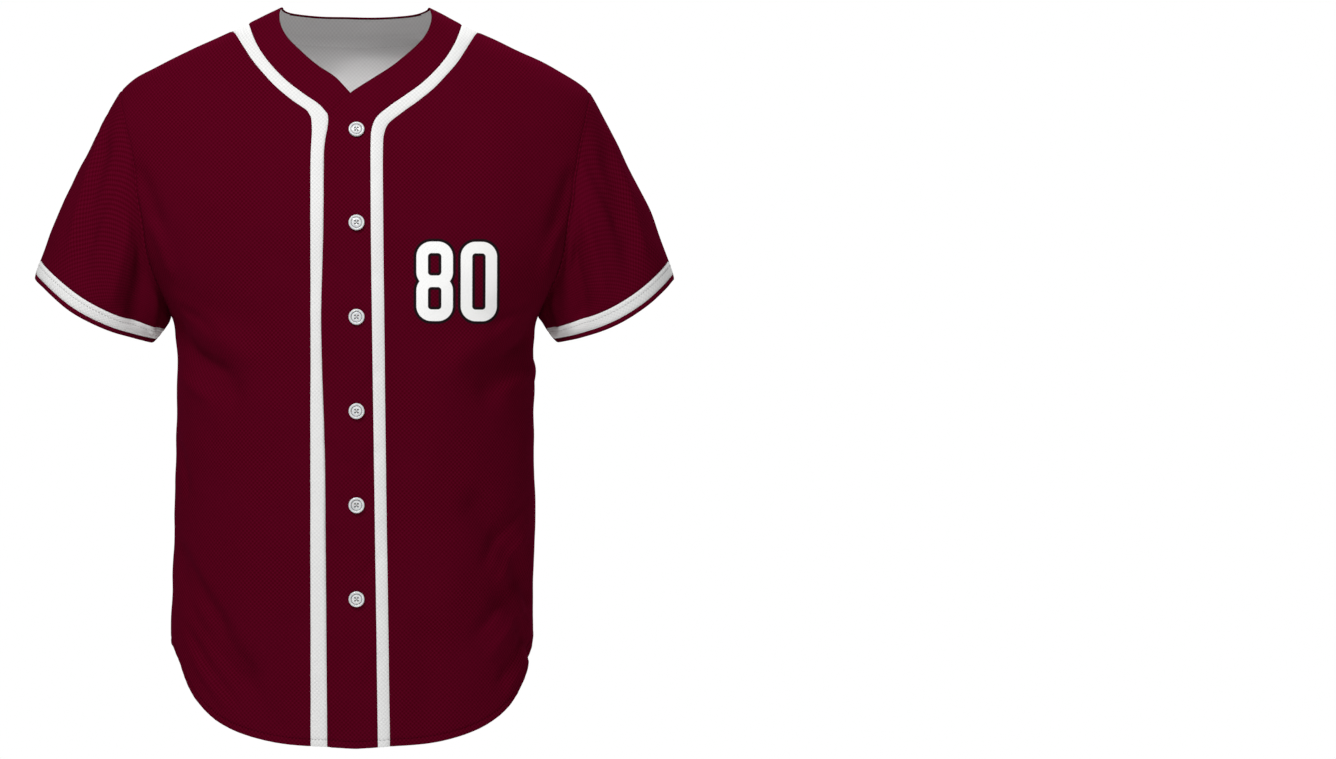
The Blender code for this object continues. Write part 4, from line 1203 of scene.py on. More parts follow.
@dataclass
class ClothPiece:
    """A cut piece of cloth: a thin shell whose outer face follows a grid of points."""

    name: str
    points: np.ndarray
    outward: np.ndarray
    chart: np.ndarray
    edges: dict[str, Edge]
    slot: Slot
    outside: bpy.types.Material
    inside: bpy.types.Material
    kept: np.ndarray | None = None
    sunk: np.ndarray | None = None
    thickness: float = 1.0
    seam_depth: float = 0.75
    seam_width: float = 1.5
    allowance: float = 0.22
    allowance_width: float = 6.0
    fold_round: float = 0.35
    turned_edge: float = 2.4
    hem_turn: float = 11.0
    hem_stitch: float = 7.2
    hem_groove: float = 0.6
    hem_pucker: float = 0.32
    seam_gap: float = 0.05

    def distance(self, edge: str) -> np.ndarray:
        """Distance of each grid point from an edge along the cloth."""
        along_rows = edge.endswith("column")
        steps = np.linalg.norm(np.diff(self.points, axis=1 if along_rows else 0), axis=-1)
        if along_rows:
            total = np.concatenate([np.zeros((len(steps), 1)), np.cumsum(steps, axis=1)], axis=1)
            return total if edge.startswith("start") else total[:, -1:] - total
        total = np.concatenate([np.zeros((1, steps.shape[1])), np.cumsum(steps, axis=0)])
        return total if edge.startswith("start") else total[-1:] - total

    def edge_shift(self) -> np.ndarray:
        """Half a seam gap away from each sewn edge."""
        shift = np.zeros_like(self.points)
        places = {
            "start_row": (np.s_[0, :], np.s_[1, :]),
            "end_row": (np.s_[-1, :], np.s_[-2, :]),
            "start_column": (np.s_[:, 0], np.s_[:, 1]),
            "end_column": (np.s_[:, -1], np.s_[:, -2]),
        }
        for edge, (here, beside) in places.items():
            if self.edges.get(edge) is Edge.SEAM:
                run = unit(np.gradient(self.points[here], axis=0))
                across = unit(np.cross(run, unit(self.outward[here])))
                inward = self.points[beside] - self.points[here]
                facing = np.sign(np.sum(across * inward, axis=-1, keepdims=True))
                shift[here] += across * facing * self.seam_gap / 2
        return shift

    def outer(self) -> np.ndarray:
        """Outer points, pressed in at seams, folds and the hem's row of stitches."""
        depth = np.zeros(self.points.shape[:2])
        for edge, kind in self.edges.items():
            distance = self.distance(edge)
            if kind is Edge.SEAM:
                depth -= self.seam_depth * bell(distance, self.seam_width)
            else:
                depth -= self.fold_round * bell(distance, 0.8)
        if self.hem_turn:
            above = self.distance("start_row")
            depth -= self.hem_groove * bell(above - self.hem_stitch, 1.1)
            run = self.chart[..., 0]
            pucker = np.sin(run * 0.62 + 2.0 * np.sin(run * 0.071)) * np.sin(run * 0.23 + 1.0)
            depth += self.hem_pucker * pucker * bell(above - 0.5 * self.hem_stitch, self.hem_stitch)
        if self.sunk is not None:
            depth += self.sunk
        return self.points + self.edge_shift() + self.outward * depth[..., None]

    def inner(self, outer: np.ndarray) -> np.ndarray:
        """Inner points, thicker at seam allowances and the turned hem."""
        extra = np.full(self.points.shape[:2], self.thickness)
        for edge, kind in self.edges.items():
            if kind is Edge.SEAM:
                share = smooth_step((self.allowance_width - self.distance(edge)) / 3.0)
                extra += self.allowance * share
        if self.hem_turn:
            share = smooth_step((self.hem_turn - self.distance("start_row")) / 1.5)
            extra = np.maximum(extra, self.thickness + self.allowance * share)
        return outer - self.outward * extra[..., None]

    def line(self, edge: str, distance: float) -> Surface:
        """A line on the outer face at a distance from an edge, and the directions out of it."""
        gaps = self.distance(edge)
        outer = self.outer()
        swap = edge.endswith("column")
        if not swap:
            gaps, outer, outward = gaps.T, outer.transpose(1, 0, 2), self.outward.transpose(1, 0, 2)
        else:
            outward = self.outward
        points, directions = [], []
        for gap, row, out in zip(gaps, outer, outward):
            order = np.argsort(gap)
            points.append([np.interp(distance, gap[order], row[order, axis]) for axis in range(3)])
            directions.append([np.interp(distance, gap[order], out[order, axis]) for axis in range(3)])
        return np.array(points), unit(np.array(directions))

    def turned_over(self) -> np.ndarray:
        """Which cells of the inside show the outer face, because the cloth is turned in there."""
        turned = np.zeros((self.points.shape[0] - 1, self.points.shape[1] - 1), bool)
        for edge, kind in self.edges.items():
            if kind is Edge.FOLD:
                distance = self.distance(edge)
                middle = (distance[:-1, :-1] + distance[1:, 1:]) / 2
                hem = edge == "start_row" and self.hem_turn > 0
                turned |= middle < (self.hem_turn if hem else self.turned_edge)
        return turned

    def faces(self) -> tuple[np.ndarray, np.ndarray]:
        """Quads of the shell and the material of each."""
        rows, columns = self.points.shape[:2]
        kept = np.ones((rows - 1, columns - 1), bool) if self.kept is None else self.kept
        row, column = np.nonzero(kept)
        index = np.arange(rows * columns).reshape(rows, columns)
        layer = rows * columns
        a, b = index[row, column], index[row, column + 1]
        c, d = index[row + 1, column + 1], index[row + 1, column]
        around = np.pad(kept, 1)
        quads = [np.stack([a, b, c, d], 1), np.stack([d, c, b, a], 1) + layer]
        materials = [np.zeros(len(a), int), 1 - self.turned_over()[row, column].astype(int)]
        for start, end, down, over in ((a, b, -1, 0), (b, c, 0, 1), (c, d, 1, 0), (d, a, 0, -1)):
            open_side = ~around[row + 1 + down, column + 1 + over]
            first, last = start[open_side], end[open_side]
            quads.append(np.stack([last, first, first + layer, last + layer], 1))
            materials.append(np.zeros(len(first), int))
        quads = np.concatenate(quads)
        run = self.points[0, 1] - self.points[0, 0]
        rise = self.points[1, 0] - self.points[0, 0]
        if float(np.dot(np.cross(run, rise), self.outward[0, 0])) < 0:
            quads = quads[:, ::-1]
        return quads, np.concatenate(materials)

    def build(self) -> bpy.types.Object:
        outer = self.outer()
        vertices = np.concatenate([outer.reshape(-1, 3), self.inner(outer).reshape(-1, 3)]) * MM
        quads, materials = self.faces()
        used, renamed = np.unique(quads, return_inverse=True)
        quads = renamed.reshape(quads.shape)
        mesh = bpy.data.meshes.new(self.name)
        mesh.from_pydata(vertices[used].tolist(), [], quads.tolist())
        mesh.materials.append(self.outside)
        mesh.materials.append(self.inside)
        mesh.polygons.foreach_set("material_index", materials)
        chart = np.concatenate([self.chart.reshape(-1, 2)] * 2)[used] * MM
        corners = np.zeros(len(mesh.loops), np.int32)
        mesh.loops.foreach_get("vertex_index", corners)
        mesh.uv_layers.new(name="Cloth").data.foreach_set("uv", chart[corners].ravel())
        return place_mesh(f"{self.name}_cloth", mesh)

    def flat_size(self) -> tuple[tuple[float, float], float]:
        """Width, length and area of the flat cut, in metres."""
        across = np.linalg.norm(np.diff(self.points, axis=1), axis=-1)
        up = np.linalg.norm(np.diff(self.points, axis=0), axis=-1)
        run = self.points[:-1, 1:] - self.points[:-1, :-1]
        rise = self.points[1:, :-1] - self.points[:-1, :-1]
        cells = np.linalg.norm(np.cross(run, rise), axis=-1)
        area = float(cells.sum() if self.kept is None else cells[self.kept].sum()) * MM * MM
        width, length = float(across.sum(1).max()) * MM, float(up.sum(0).max()) * MM
        if area < 0.3 * width * length:
            width = area / (0.5 * length)
        return (max(width, 0.01), max(length, 0.01)), min(area, width * length)


@dataclass
class StitchRow:
    """A row of short stitches that lie along a line on the cloth."""

    name: str
    slot: Slot
    finish: bpy.types.Material
    length: float = 2.6
    gap: float = 0.75
    radius: float = 0.27
    sides: int = 6
    rings: int = 6
    dive: float = 0.30

    def build(self, path: np.ndarray, outward: np.ndarray) -> bpy.types.Object:
        """Lay the stitches along a path.

        Args:
            path: Points of the line, in millimetres.
            outward: Directions out of the cloth there.

        Returns:
            One piece that holds all the stitches.
        """
        steps = np.linalg.norm(np.diff(path, axis=0), axis=-1)
        reach = np.concatenate([[0.0], np.cumsum(steps)])
        count = max(1, int(reach[-1] / (self.length + self.gap)))
        pitch = reach[-1] / count
        share = np.linspace(0.0, 1.0, self.rings)
        starts = (np.arange(count) + 0.5 * self.gap / (self.length + self.gap)) * pitch
        places = starts[:, None] + share[None, :] * pitch * self.length / (self.length + self.gap)
        middle = np.stack([np.interp(places, reach, path[:, axis]) for axis in range(3)], -1)
        out = unit(np.stack([np.interp(places, reach, outward[:, axis]) for axis in range(3)], -1))
        run = unit(np.gradient(middle, axis=1))
        across = unit(np.cross(run, out))
        arch = np.sin(np.pi * share)
        lift = (self.dive + self.radius * 0.6) * arch - self.dive
        middle = middle + out * lift[None, :, None]
        size = self.radius * (0.35 + 0.65 * np.sqrt(arch))
        turn = np.arange(self.sides) * 2 * np.pi / self.sides
        offset = (
            np.cos(turn)[None, None, :, None] * across[:, :, None, :]
            + np.sin(turn)[None, None, :, None] * out[:, :, None, :]
        )
        vertices = middle[:, :, None, :] + offset * size[None, :, None, None]
        index = np.arange(count * self.rings * self.sides).reshape(count, self.rings, self.sides)
        following = np.roll(index, -1, axis=2)
        quads = np.stack(
            [index[:, :-1], following[:, :-1], following[:, 1:], index[:, 1:]], axis=-1
        ).reshape(-1, 4)
        caps = [*index[:, 0, ::-1].tolist(), *index[:, -1].tolist()]
        mesh = bpy.data.meshes.new(self.name)
        mesh.from_pydata((vertices.reshape(-1, 3) * MM).tolist(), [], quads[:, ::-1].tolist() + caps)
        mesh.materials.append(self.finish)
        return place_mesh(self.name, mesh, sharp=180.0)


@dataclass
class Tailor:
    """What every piece of the jersey is made with."""

    pattern: Pattern = field(default_factory=Pattern)
    finishes: Finishes = field(default_factory=Finishes)
    spacing: float = 3.2
    fine: tuple = (0.6, 1.3, 2.2, 3.4, 5.0)
    near_hem: tuple = (0.6, 1.4, 2.4, 3.6, 4.8, 5.8, 6.6, 7.2, 7.8, 8.6, 9.8, 11.2, 13.0)
    mitre_reach: float = 7.0
    longest_mitre: float = 1.7
    pieces: dict = field(default_factory=dict)

    def sew(self, cloth: ClothPiece, with_pieces: Sequence[bpy.types.Object] = ()) -> bpy.types.Object:
        """Build a piece of cloth in place of the solid of the same name.

        Args:
            cloth: The piece.
            with_pieces: Rows of stitches on it; not used.

        Returns:
            The piece.
        """
        piece = cloth.build()
        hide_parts(cloth.name)
        flat, area = cloth.flat_size()
        self.pieces[cloth.name] = (flat, area)
        return piece

    def stitches(
        self, name: str, slot: Slot, cloth: ClothPiece, edge: str, distance: float
    ) -> bpy.types.Object:
        """A row of stitches at a distance from an edge of a piece of cloth."""
        path, outward = cloth.line(edge, distance)
        return StitchRow(name, slot, self.finishes.thread(slot)).build(path, outward)

    def mitred(self, body_outward: np.ndarray, sleeve_outward: np.ndarray) -> np.ndarray:
        """Shared direction where the body meets a sleeve."""
        shared = unit(body_outward + sleeve_outward)
        cosine = np.sum(shared * body_outward, axis=-1, keepdims=True)
        return shared / np.maximum(cosine, 1.0 / self.longest_mitre)

    def armhole(self, side: int, back: bool, rows: np.ndarray) -> np.ndarray:
        """Directions shared by the body and a sleeve along the armhole, by row."""
        pattern = self.pattern
        angle, height = pattern.side(rows, back)
        body_outward = pattern.body.outward(side * angle, height)
        step = (rows - pattern.armpit_row + pattern.arm_steps) if back else (pattern.top_row - rows)
        sleeve_outward = SleeveForm(side, pattern).at(step, np.zeros_like(step))[1]
        return self.mitred(body_outward, sleeve_outward)

    def blend_armhole(
        self,
        points: np.ndarray,
        outward: np.ndarray,
        rows: np.ndarray,
        side: int,
        back: bool,
        column: int,
    ) -> None:
        """Turn the directions near an armhole towards the shared ones, in place."""
        chosen = rows >= self.pattern.armpit_row
        shared = self.armhole(side, back, rows[chosen])
        edge = points[chosen, column][:, None]
        distance = np.linalg.norm(points[chosen] - edge, axis=-1)
        share = 1 - smooth_step(distance / self.mitre_reach)
        outward[chosen] += (shared[:, None] - outward[chosen]) * share[..., None]


@dataclass
class Front:
    """One front: its panel, white stripe and band."""

    side: int
    lines: tuple
    tailor: Tailor
    lap_rise: float = 2.2
    lap_full_to: float = 17.5
    lap_ends_at: float = 42.0
    edge_wave: float = 0.5

    @property
    def word(self) -> str:
        """The side's name."""
        return "left" if self.side > 0 else "right"

    def lapped(self, points: np.ndarray, outward: np.ndarray) -> np.ndarray:
        """The top front lifted off the one beneath it, near the middle."""
        if self.side < 0:
            return points
        share = smooth_step((self.lap_ends_at - points[..., 0]) / (self.lap_ends_at - self.lap_full_to))
        along = points[..., 2]
        wave = np.sin(along * 0.066 + 1.5) * np.sin(along * 0.023) + 0.4 * np.sin(along * 0.17)
        near_edge = smooth_step((-points[..., 0] - 10.0) / 24.0)
        rise = self.lap_rise * share + self.edge_wave * wave * near_edge
        return points + outward * rise[..., None]

    def charted(self, angle: np.ndarray, height: np.ndarray) -> np.ndarray:
        """Place of each grid point on the flat cloth."""
        arc = self.tailor.pattern.body.arc(angle, height, Face.FRONT)
        return np.stack([arc, height], axis=-1)

    def strip(
        self,
        part: str,
        first: str,
        last: str,
        width: float,
        edges: dict,
        slot: Slot,
        material: bpy.types.Material,
    ) -> ClothPiece:
        """A strip between two lines of this front."""
        tailor, pattern = self.tailor, self.tailor.pattern
        rows = pattern.rows(tailor.spacing, tailor.near_hem, tailor.fine[:3])
        shares = fine_shares(width, 2.4, tailor.fine[:3])
        angle, height = pattern.front_strip(self.lines, first, last, rows, shares, self.side)
        points, outward = pattern.body.at(angle, height)
        return ClothPiece(
            name=f"front_{self.word}_{part}",
            points=self.lapped(points, outward),
            outward=outward,
            chart=self.charted(angle, height),
            edges=edges,
            slot=slot,
            outside=material,
            inside=tailor.finishes.reverse(),
        )

    def panel(self) -> ClothPiece:
        """The front panel, from its stripe to its side seam and armhole."""
        tailor, pattern = self.tailor, self.tailor.pattern
        rows = pattern.rows(tailor.spacing, tailor.near_hem, tailor.fine)
        shares = fine_shares(205.0, tailor.spacing, tailor.fine)
        angle, height = pattern.front_panel(self.lines, self.side, rows, shares)
        points, outward = pattern.body.at(angle, height)
        points = self.lapped(points, outward)
        tailor.blend_armhole(points, outward, rows, self.side, back=False, column=-1)
        finishes = tailor.finishes
        number = finishes.front_number if self.side > 0 else None
        name = "numbered front knit" if number else "burgundy knit"
        seams = {"end_row": Edge.SEAM, "start_column": Edge.SEAM, "end_column": Edge.SEAM}
        return ClothPiece(
            name=f"front_{self.word}_panel",
            points=points,
            outward=outward,
            chart=self.charted(angle, height),
            edges={"start_row": Edge.FOLD, **seams},
            slot=Slot.BURGUNDY,
            outside=finishes.knit(name, number),
            inside=finishes.reverse(),
        )

    def build(self) -> None:
        """Sew the band, stripe and panel with their stitches."""
        tailor, finishes = self.tailor, self.tailor.finishes
        knit = finishes.knit("burgundy knit")
        free = {"start_row": Edge.FOLD, "end_row": Edge.SEAM}
        band = self.strip(
            "band", "edge", "inner", 48.0, {**free, "start_column": Edge.FOLD, "end_column": Edge.SEAM},
            Slot.BURGUNDY, knit,
        )
        sewn = {"start_column": Edge.SEAM, "end_column": Edge.SEAM}
        trim = self.strip("trim", "inner", "outer", 12.3, {**free, **sewn}, Slot.WHITE, finishes.stripe())
        panel = self.panel()
        for cloth, slot in ((band, Slot.BURGUNDY), (trim, Slot.WHITE), (panel, Slot.BURGUNDY)):
            hem = tailor.stitches(f"{cloth.name}_hem_stitches", slot, cloth, "start_row", cloth.hem_stitch)
            tailor.sew(cloth, [hem])


@dataclass
class Back:
    """The back panel, and the stripe and band across the back neck."""

    tailor: Tailor

    def charted(self, angle: np.ndarray, height: np.ndarray) -> np.ndarray:
        """Place of each grid point on the flat cloth."""
        arc = self.tailor.pattern.body.arc(angle, height, Face.BACK)
        return np.stack([arc, height], axis=-1)

    def strip(
        self,
        part: str,
        first: BackNeckLine,
        last: BackNeckLine,
        width: float,
        edges: dict,
        slot: Slot,
        material: bpy.types.Material,
    ) -> ClothPiece:
        """A strip across the back neck, without a hem."""
        tailor, pattern = self.tailor, self.tailor.pattern
        across = fine_shares(260.0, 2.6, tailor.fine[:3])
        start, end = pattern.back_neck(first, across), pattern.back_neck(last, across)
        share = fine_shares(width, 2.0, tailor.fine[:3])[:, None]
        angle, height = (a + (b - a) * share for a, b in zip(start, end))
        points, outward = pattern.body.at(angle, height)
        return ClothPiece(
            name=f"back_{part}",
            points=points,
            outward=outward,
            chart=self.charted(angle, height),
            edges=edges,
            slot=slot,
            outside=material,
            inside=tailor.finishes.reverse(),
            hem_turn=0.0,
        )

    def panel(self) -> ClothPiece:
        """The back panel, from side seam to side seam."""
        tailor, pattern = self.tailor, self.tailor.pattern
        rows = pattern.rows(tailor.spacing, tailor.near_hem, tailor.fine)
        near = np.array([0.0, *tailor.fine]) / 160.0
        shoulder = np.concatenate([near, np.linspace(near[-1], 1.0, 48)[1:]])
        neck = np.linspace(0.0, 1.0, 54)
        angle, height = pattern.back_panel(rows, shoulder, neck)
        points, outward = pattern.body.at(angle, height)
        tailor.blend_armhole(points, outward, rows, 1, back=True, column=0)
        tailor.blend_armhole(points, outward, rows, -1, back=True, column=-1)
        finishes = tailor.finishes
        seams = {"end_row": Edge.SEAM, "start_column": Edge.SEAM, "end_column": Edge.SEAM}
        return ClothPiece(
            name="back_panel",
            points=points,
            outward=outward,
            chart=self.charted(angle, height),
            edges={"start_row": Edge.FOLD, **seams},
            slot=Slot.BURGUNDY,
            outside=finishes.knit("numbered back knit", finishes.back_number),
            inside=finishes.reverse(),
        )

    def build(self) -> None:
        """Sew the panel with its hem stitches, and the stripe and band."""
        tailor, finishes = self.tailor, self.tailor.finishes
        panel = self.panel()
        hem = tailor.stitches(
            "back_panel_hem_stitches", Slot.BURGUNDY, panel, "start_row", panel.hem_stitch
        )
        tailor.sew(panel, [hem])
        all_round = {name: Edge.SEAM for name in ("start_row", "end_row", "start_column", "end_column")}
        stripe = self.strip(
            "trim", BACK_STRIPE_TOP, BACK_STRIPE_FOOT, 11.0, all_round, Slot.WHITE, finishes.stripe()
        )
        tailor.sew(stripe)
        edges = {**all_round, "start_row": Edge.FOLD}
        knit = finishes.knit("burgundy knit")
        tailor.sew(self.strip("band", BACK_NECK_EDGE, BACK_STRIPE_TOP, 24.0, edges, Slot.BURGUNDY, knit))


@dataclass
class Sleeve:
    """One sleeve, with the stripe and edge on the front half of its cuff."""

    side: int
    tailor: Tailor
    edge_width: float = 5.2
    stripe_width: float = 14.0
    seam_gap: float = 0.05
    length: float = 135.0
    half_round: float = 235.0
    hem_stitch: float = 14.6

    @property
    def word(self) -> str:
        """The side's name."""
        return "left" if self.side > 0 else "right"

    def sheet(self, form: SleeveForm, step: np.ndarray, along: np.ndarray) -> tuple:
        """Points, directions and flat places of a grid of the sleeve."""
        points, outward = form.at(step, along)
        step, along = np.broadcast_arrays(step, along)
        turn = step * self.half_round / form.pattern.arm_steps * self.side
        chart = np.stack([turn, -along * self.length], axis=-1)
        return points, outward, chart

    def body(self, form: SleeveForm) -> ClothPiece:
        """The sleeve itself, which runs to the end of the cuff on the back half only."""
        tailor, pattern = self.tailor, self.tailor.pattern
        steps_round = pattern.arm_steps
        half = fine_shares(self.half_round, tailor.spacing, tailor.fine) * steps_round
        steps = np.concatenate([-half[::-1], half[1:]])
        top = self.edge_width + self.stripe_width + self.seam_gap / 2
        body_end = form.share_above_cuff(top, steps)
        rings = fine_shares(self.length, tailor.spacing, tailor.fine)
        tail = np.linspace(0.0, 1.0, 17)[1:]
        rings_below = body_end[None, :] + (1 - body_end[None, :]) * tail[:, None]
        along = np.concatenate([rings[:, None] * body_end[None, :], rings_below])
        points, outward, chart = self.sheet(form, steps[None, :], along)
        front_rows = pattern.top_row - np.abs(steps)
        shared = np.where(
            (steps >= 0)[:, None],
            tailor.armhole(self.side, False, front_rows),
            tailor.armhole(self.side, True, front_rows),
        )
        distance = np.linalg.norm(points - points[:1], axis=-1)
        share = 1 - smooth_step(distance / tailor.mitre_reach)
        outward = outward + (shared[None] - outward) * share[..., None]
        kept = np.ones((along.shape[0] - 1, along.shape[1] - 1), bool)
        kept[len(rings) - 1 :, len(half) - 1 :] = False
        return ClothPiece(
            name=f"sleeve_{self.word}",
            points=points,
            outward=outward,
            chart=chart,
            edges={"start_row": Edge.SEAM, "start_column": Edge.SEAM, "end_column": Edge.SEAM},
            slot=Slot.BURGUNDY,
            outside=tailor.finishes.knit("burgundy knit"),
            inside=tailor.finishes.reverse(),
            kept=kept,
            sunk=self.cuff_relief(form, steps, along),
            hem_turn=0.0,
        )

    def cuff_relief(self, form: SleeveForm, steps: np.ndarray, along: np.ndarray) -> np.ndarray:
        """Seam above the front stripe, and the row of stitches round the back of the cuff."""
        from_end = (1 - along) * form.length(steps)[None, :]
        top = self.edge_width + self.stripe_width
        front = (steps >= 0)[None, :]
        seam = -0.75 * bell(from_end - top, 1.5)
        groove = -0.35 * bell(from_end - self.hem_stitch, 1.2) - 0.35 * bell(from_end, 0.8)
        return np.where(front, seam, groove)

    def cuff_strip(
        self,
        form: SleeveForm,
        part: str,
        upper: float,
        lower: float,
        edges: dict,
        slot: Slot,
        material: bpy.types.Material,
    ) -> ClothPiece:
        """A strip of the front half of the cuff between two distances from its end."""
        tailor = self.tailor
        steps = fine_shares(self.half_round * 0.8, 2.2, tailor.fine[:3]) * tailor.pattern.arm_steps
        gap = self.seam_gap / 2 * tailor.pattern.arm_steps / self.half_round
        steps[0] += gap
        steps[-1] -= gap
        share = fine_shares(upper - lower, 1.1, (0.5, 1.1))[:, None]
        width = upper + (lower - upper) * share
        along = 1.0 - width / form.length(steps)[None, :]
        points, outward, chart = self.sheet(form, steps[None, :], along)
        sunk = -0.35 * bell(width - self.hem_stitch, 1.0) + np.zeros(along.shape)
        return ClothPiece(
            name=f"cuff_{part}_{self.word}",
            points=points,
            outward=outward,
            chart=chart,
            edges=edges,
            slot=slot,
            outside=material,
            inside=tailor.finishes.reverse(),
            sunk=sunk,
            hem_turn=0.0,
        )

    def build(self) -> None:
        """Sew the sleeve, its stripe and its cuff edge, with their stitches."""
        tailor, finishes = self.tailor, self.tailor.finishes
        form = SleeveForm(self.side, tailor.pattern)
        body = self.body(form)
        tailor.sew(body)
        ends = {"start_column": Edge.SEAM, "end_column": Edge.SEAM, "start_row": Edge.SEAM}
        top = self.edge_width + self.stripe_width - self.seam_gap / 2
        stripe = self.cuff_strip(
            form, "trim", top, self.edge_width + self.seam_gap / 2, {**ends, "end_row": Edge.SEAM},
            Slot.WHITE, finishes.stripe(),
        )
        row = tailor.stitches(
            f"cuff_trim_{self.word}_stitches", Slot.WHITE, stripe, "start_row", top - self.hem_stitch
        )
        tailor.sew(stripe, [row])
        edge = self.cuff_strip(
            form, "edge", self.edge_width - self.seam_gap / 2, 0.0, {**ends, "end_row": Edge.FOLD},
            Slot.BURGUNDY, finishes.knit("burgundy knit"),
        )
        tailor.sew(edge)


@dataclass
class Button:
    """A turned button with a raised rim, a ring groove, a dished middle and four holes."""

    number: int
    finishes: Finishes
    radius: float = 8.0
    thickness: float = 2.6
    bed: float = 1.8
    groove: tuple = (4.6, 5.75)
    hole_radius: float = 0.8
    hole_spread: float = 1.5
    thread_radius: float = 0.26
    turn_steps: int = 64

    def profile(self) -> list[tuple[float, float]]:
        """Radius and height along the button's section, from its middle to its back."""
        top, outer = self.thickness, self.radius
        middle = [(0.0, top - 0.80), (2.7, top - 0.76), (3.0, top - 0.58)]
        dish = [*middle, (3.4, top - 0.60), (4.3, top - 0.85)]
        groove = [(4.9, top - 1.20), (5.3, top - 1.25), (5.7, top - 0.85)]
        rim = [(6.1, top - 0.25), (6.5, top - 0.04), (6.9, top), (7.3, top - 0.10), (7.65, top - 0.40)]
        side = [(outer - 0.08, top - 0.9), (outer, top - 1.3), (outer - 0.1, 0.5)]
        back = [(outer - 0.7, 0.1), (outer - 1.4, 0.0), (0.0, 0.0)]
        return [*dish, *groove, *rim, *side, *back]

    def shade(self, mesh: bpy.types.Mesh) -> None:
        """Give the groove and the holes of the blank the darker pearl, which is painted shade."""
        for face in mesh.polygons:
            place = face.center / MM
            radius = math.hypot(place.x, place.y)
            beside = math.hypot(abs(place.x) - self.hole_spread, abs(place.y) - self.hole_spread)
            in_groove = self.groove[0] < radius < self.groove[1] and place.z > self.thickness / 2
            in_hole = beside < self.hole_radius + 0.1 and abs(face.normal.z) < 0.5
            # Groove faces and hole walls take the painted shade.
            face.material_index = int(in_groove or in_hole)

    def seat(self) -> Matrix:
        """Where the solid button sits, from its own vertices."""
        solid = bpy.data.objects[f"button_{self.number}"]
        points = np.array([vertex.co[:] for vertex in solid.data.vertices])
        middle = points.mean(0)
        normal = np.linalg.svd(points - middle)[2][2]
        normal = normal * -np.sign(normal[1])
        upward = unit(np.array([0.0, 0.0, 1.0]) - normal * normal[2])
        foot = middle + normal * ((points - middle) @ normal).min()
        turned = Matrix(np.stack([np.cross(upward, normal), upward, normal], axis=1).tolist())
        return Matrix.Translation(Vector(foot)) @ turned.to_4x4()

    def turned(self) -> bpy.types.Mesh:
        """The button's body, spun from its profile, with its holes cut."""
        mesh = bpy.data.meshes.new("turned button")
        points = [(radius * MM, 0.0, height * MM) for radius, height in self.profile()]
        mesh.from_pydata(points, [(i, i + 1) for i in range(len(points) - 1)], [])
        blank = bpy.data.objects.new("turned button", mesh)
        bpy.context.scene.collection.objects.link(blank)
        screw = blank.modifiers.new("Turn", "SCREW")
        screw.steps = screw.render_steps = self.turn_steps
        screw.use_merge_vertices = True
        screw.merge_threshold = 0.00001
        screw.use_normal_calculate = True
        drills = self.drills()
        drill = blank.modifiers.new("Holes", "BOOLEAN")
        drill.operation = "DIFFERENCE"
        drill.object = drills
        graph = bpy.context.evaluated_depsgraph_get()
        finished = bpy.data.meshes.new_from_object(blank.evaluated_get(graph))
        bpy.data.objects.remove(blank)
        bpy.data.objects.remove(drills)
        return finished

    def drills(self) -> bpy.types.Object:
        """Four rods that cut the holes."""
        cutter = bmesh.new()
        for across in (-1, 1):
            for upward in (-1, 1):
                place = Vector((across, upward, 0.0)) * self.hole_spread * MM
                place.z = self.thickness / 2 * MM
                bmesh.ops.create_cone(
                    cutter, cap_ends=True, segments=18, radius1=self.hole_radius * MM,
                    radius2=self.hole_radius * MM, depth=3 * self.thickness * MM,
                    matrix=Matrix.Translation(place),
                )
        mesh = bpy.data.meshes.new("drills")
        cutter.to_mesh(mesh)
        cutter.free()
        drills = bpy.data.objects.new("drills", mesh)
        bpy.context.scene.collection.objects.link(drills)
        return drills

    def thread(self) -> bpy.types.Mesh:
        """Two strands that cross from hole to hole."""
        bed, inner = self.bed, self.hole_spread * 0.72
        strands = [
            [
                (-inner * 1.1, -lean * inner * 1.1, bed - 1.5),
                (-inner, -lean * inner, bed + 0.10),
                (0.0, 0.0, bed + 0.55 + 0.1 * lean),
                (inner, lean * inner, bed + 0.10),
                (inner * 1.1, lean * inner * 1.1, bed - 1.5),
            ]
            for lean in (-1, 1)
        ]
        curve = bpy.data.curves.new("strands", "CURVE")
        curve.dimensions = "3D"
        curve.bevel_depth = self.thread_radius * MM
        curve.bevel_resolution = 3
        curve.use_fill_caps = True
        for strand in strands:
            spline = curve.splines.new("NURBS")
            spline.points.add(len(strand) - 1)
            for point, place in zip(spline.points, strand):
                point.co = (*(part * MM for part in place), 1.0)
            spline.use_endpoint_u = True
            spline.order_u = 3
        holder = bpy.data.objects.new("strands", curve)
        bpy.context.scene.collection.objects.link(holder)
        graph = bpy.context.evaluated_depsgraph_get()
        mesh = bpy.data.meshes.new_from_object(holder.evaluated_get(graph))
        bpy.data.objects.remove(holder)
        return mesh

    def build(self) -> None:
        """Put the button and its thread where the solid sits."""
        seat = self.seat()
        body = self.turned()
        body.materials.clear()
        body.materials.append(self.finishes.pearl())
        # Second slot: the pearl with painted shade, for the groove and holes.
        body.materials.append(self.finishes.pearl(shaded=True))
        self.shade(body)
        body.transform(seat)
        piece = place_mesh(f"pearl_button_{self.number}", body, sharp=35.0)
        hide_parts(f"button_{self.number}")
        strands = self.thread()
        strands.transform(seat)
        strands.materials.clear()
        strands.materials.append(self.finishes.thread(Slot.WHITE))
        place_mesh(f"button_thread_{self.number}", strands, sharp=180.0)


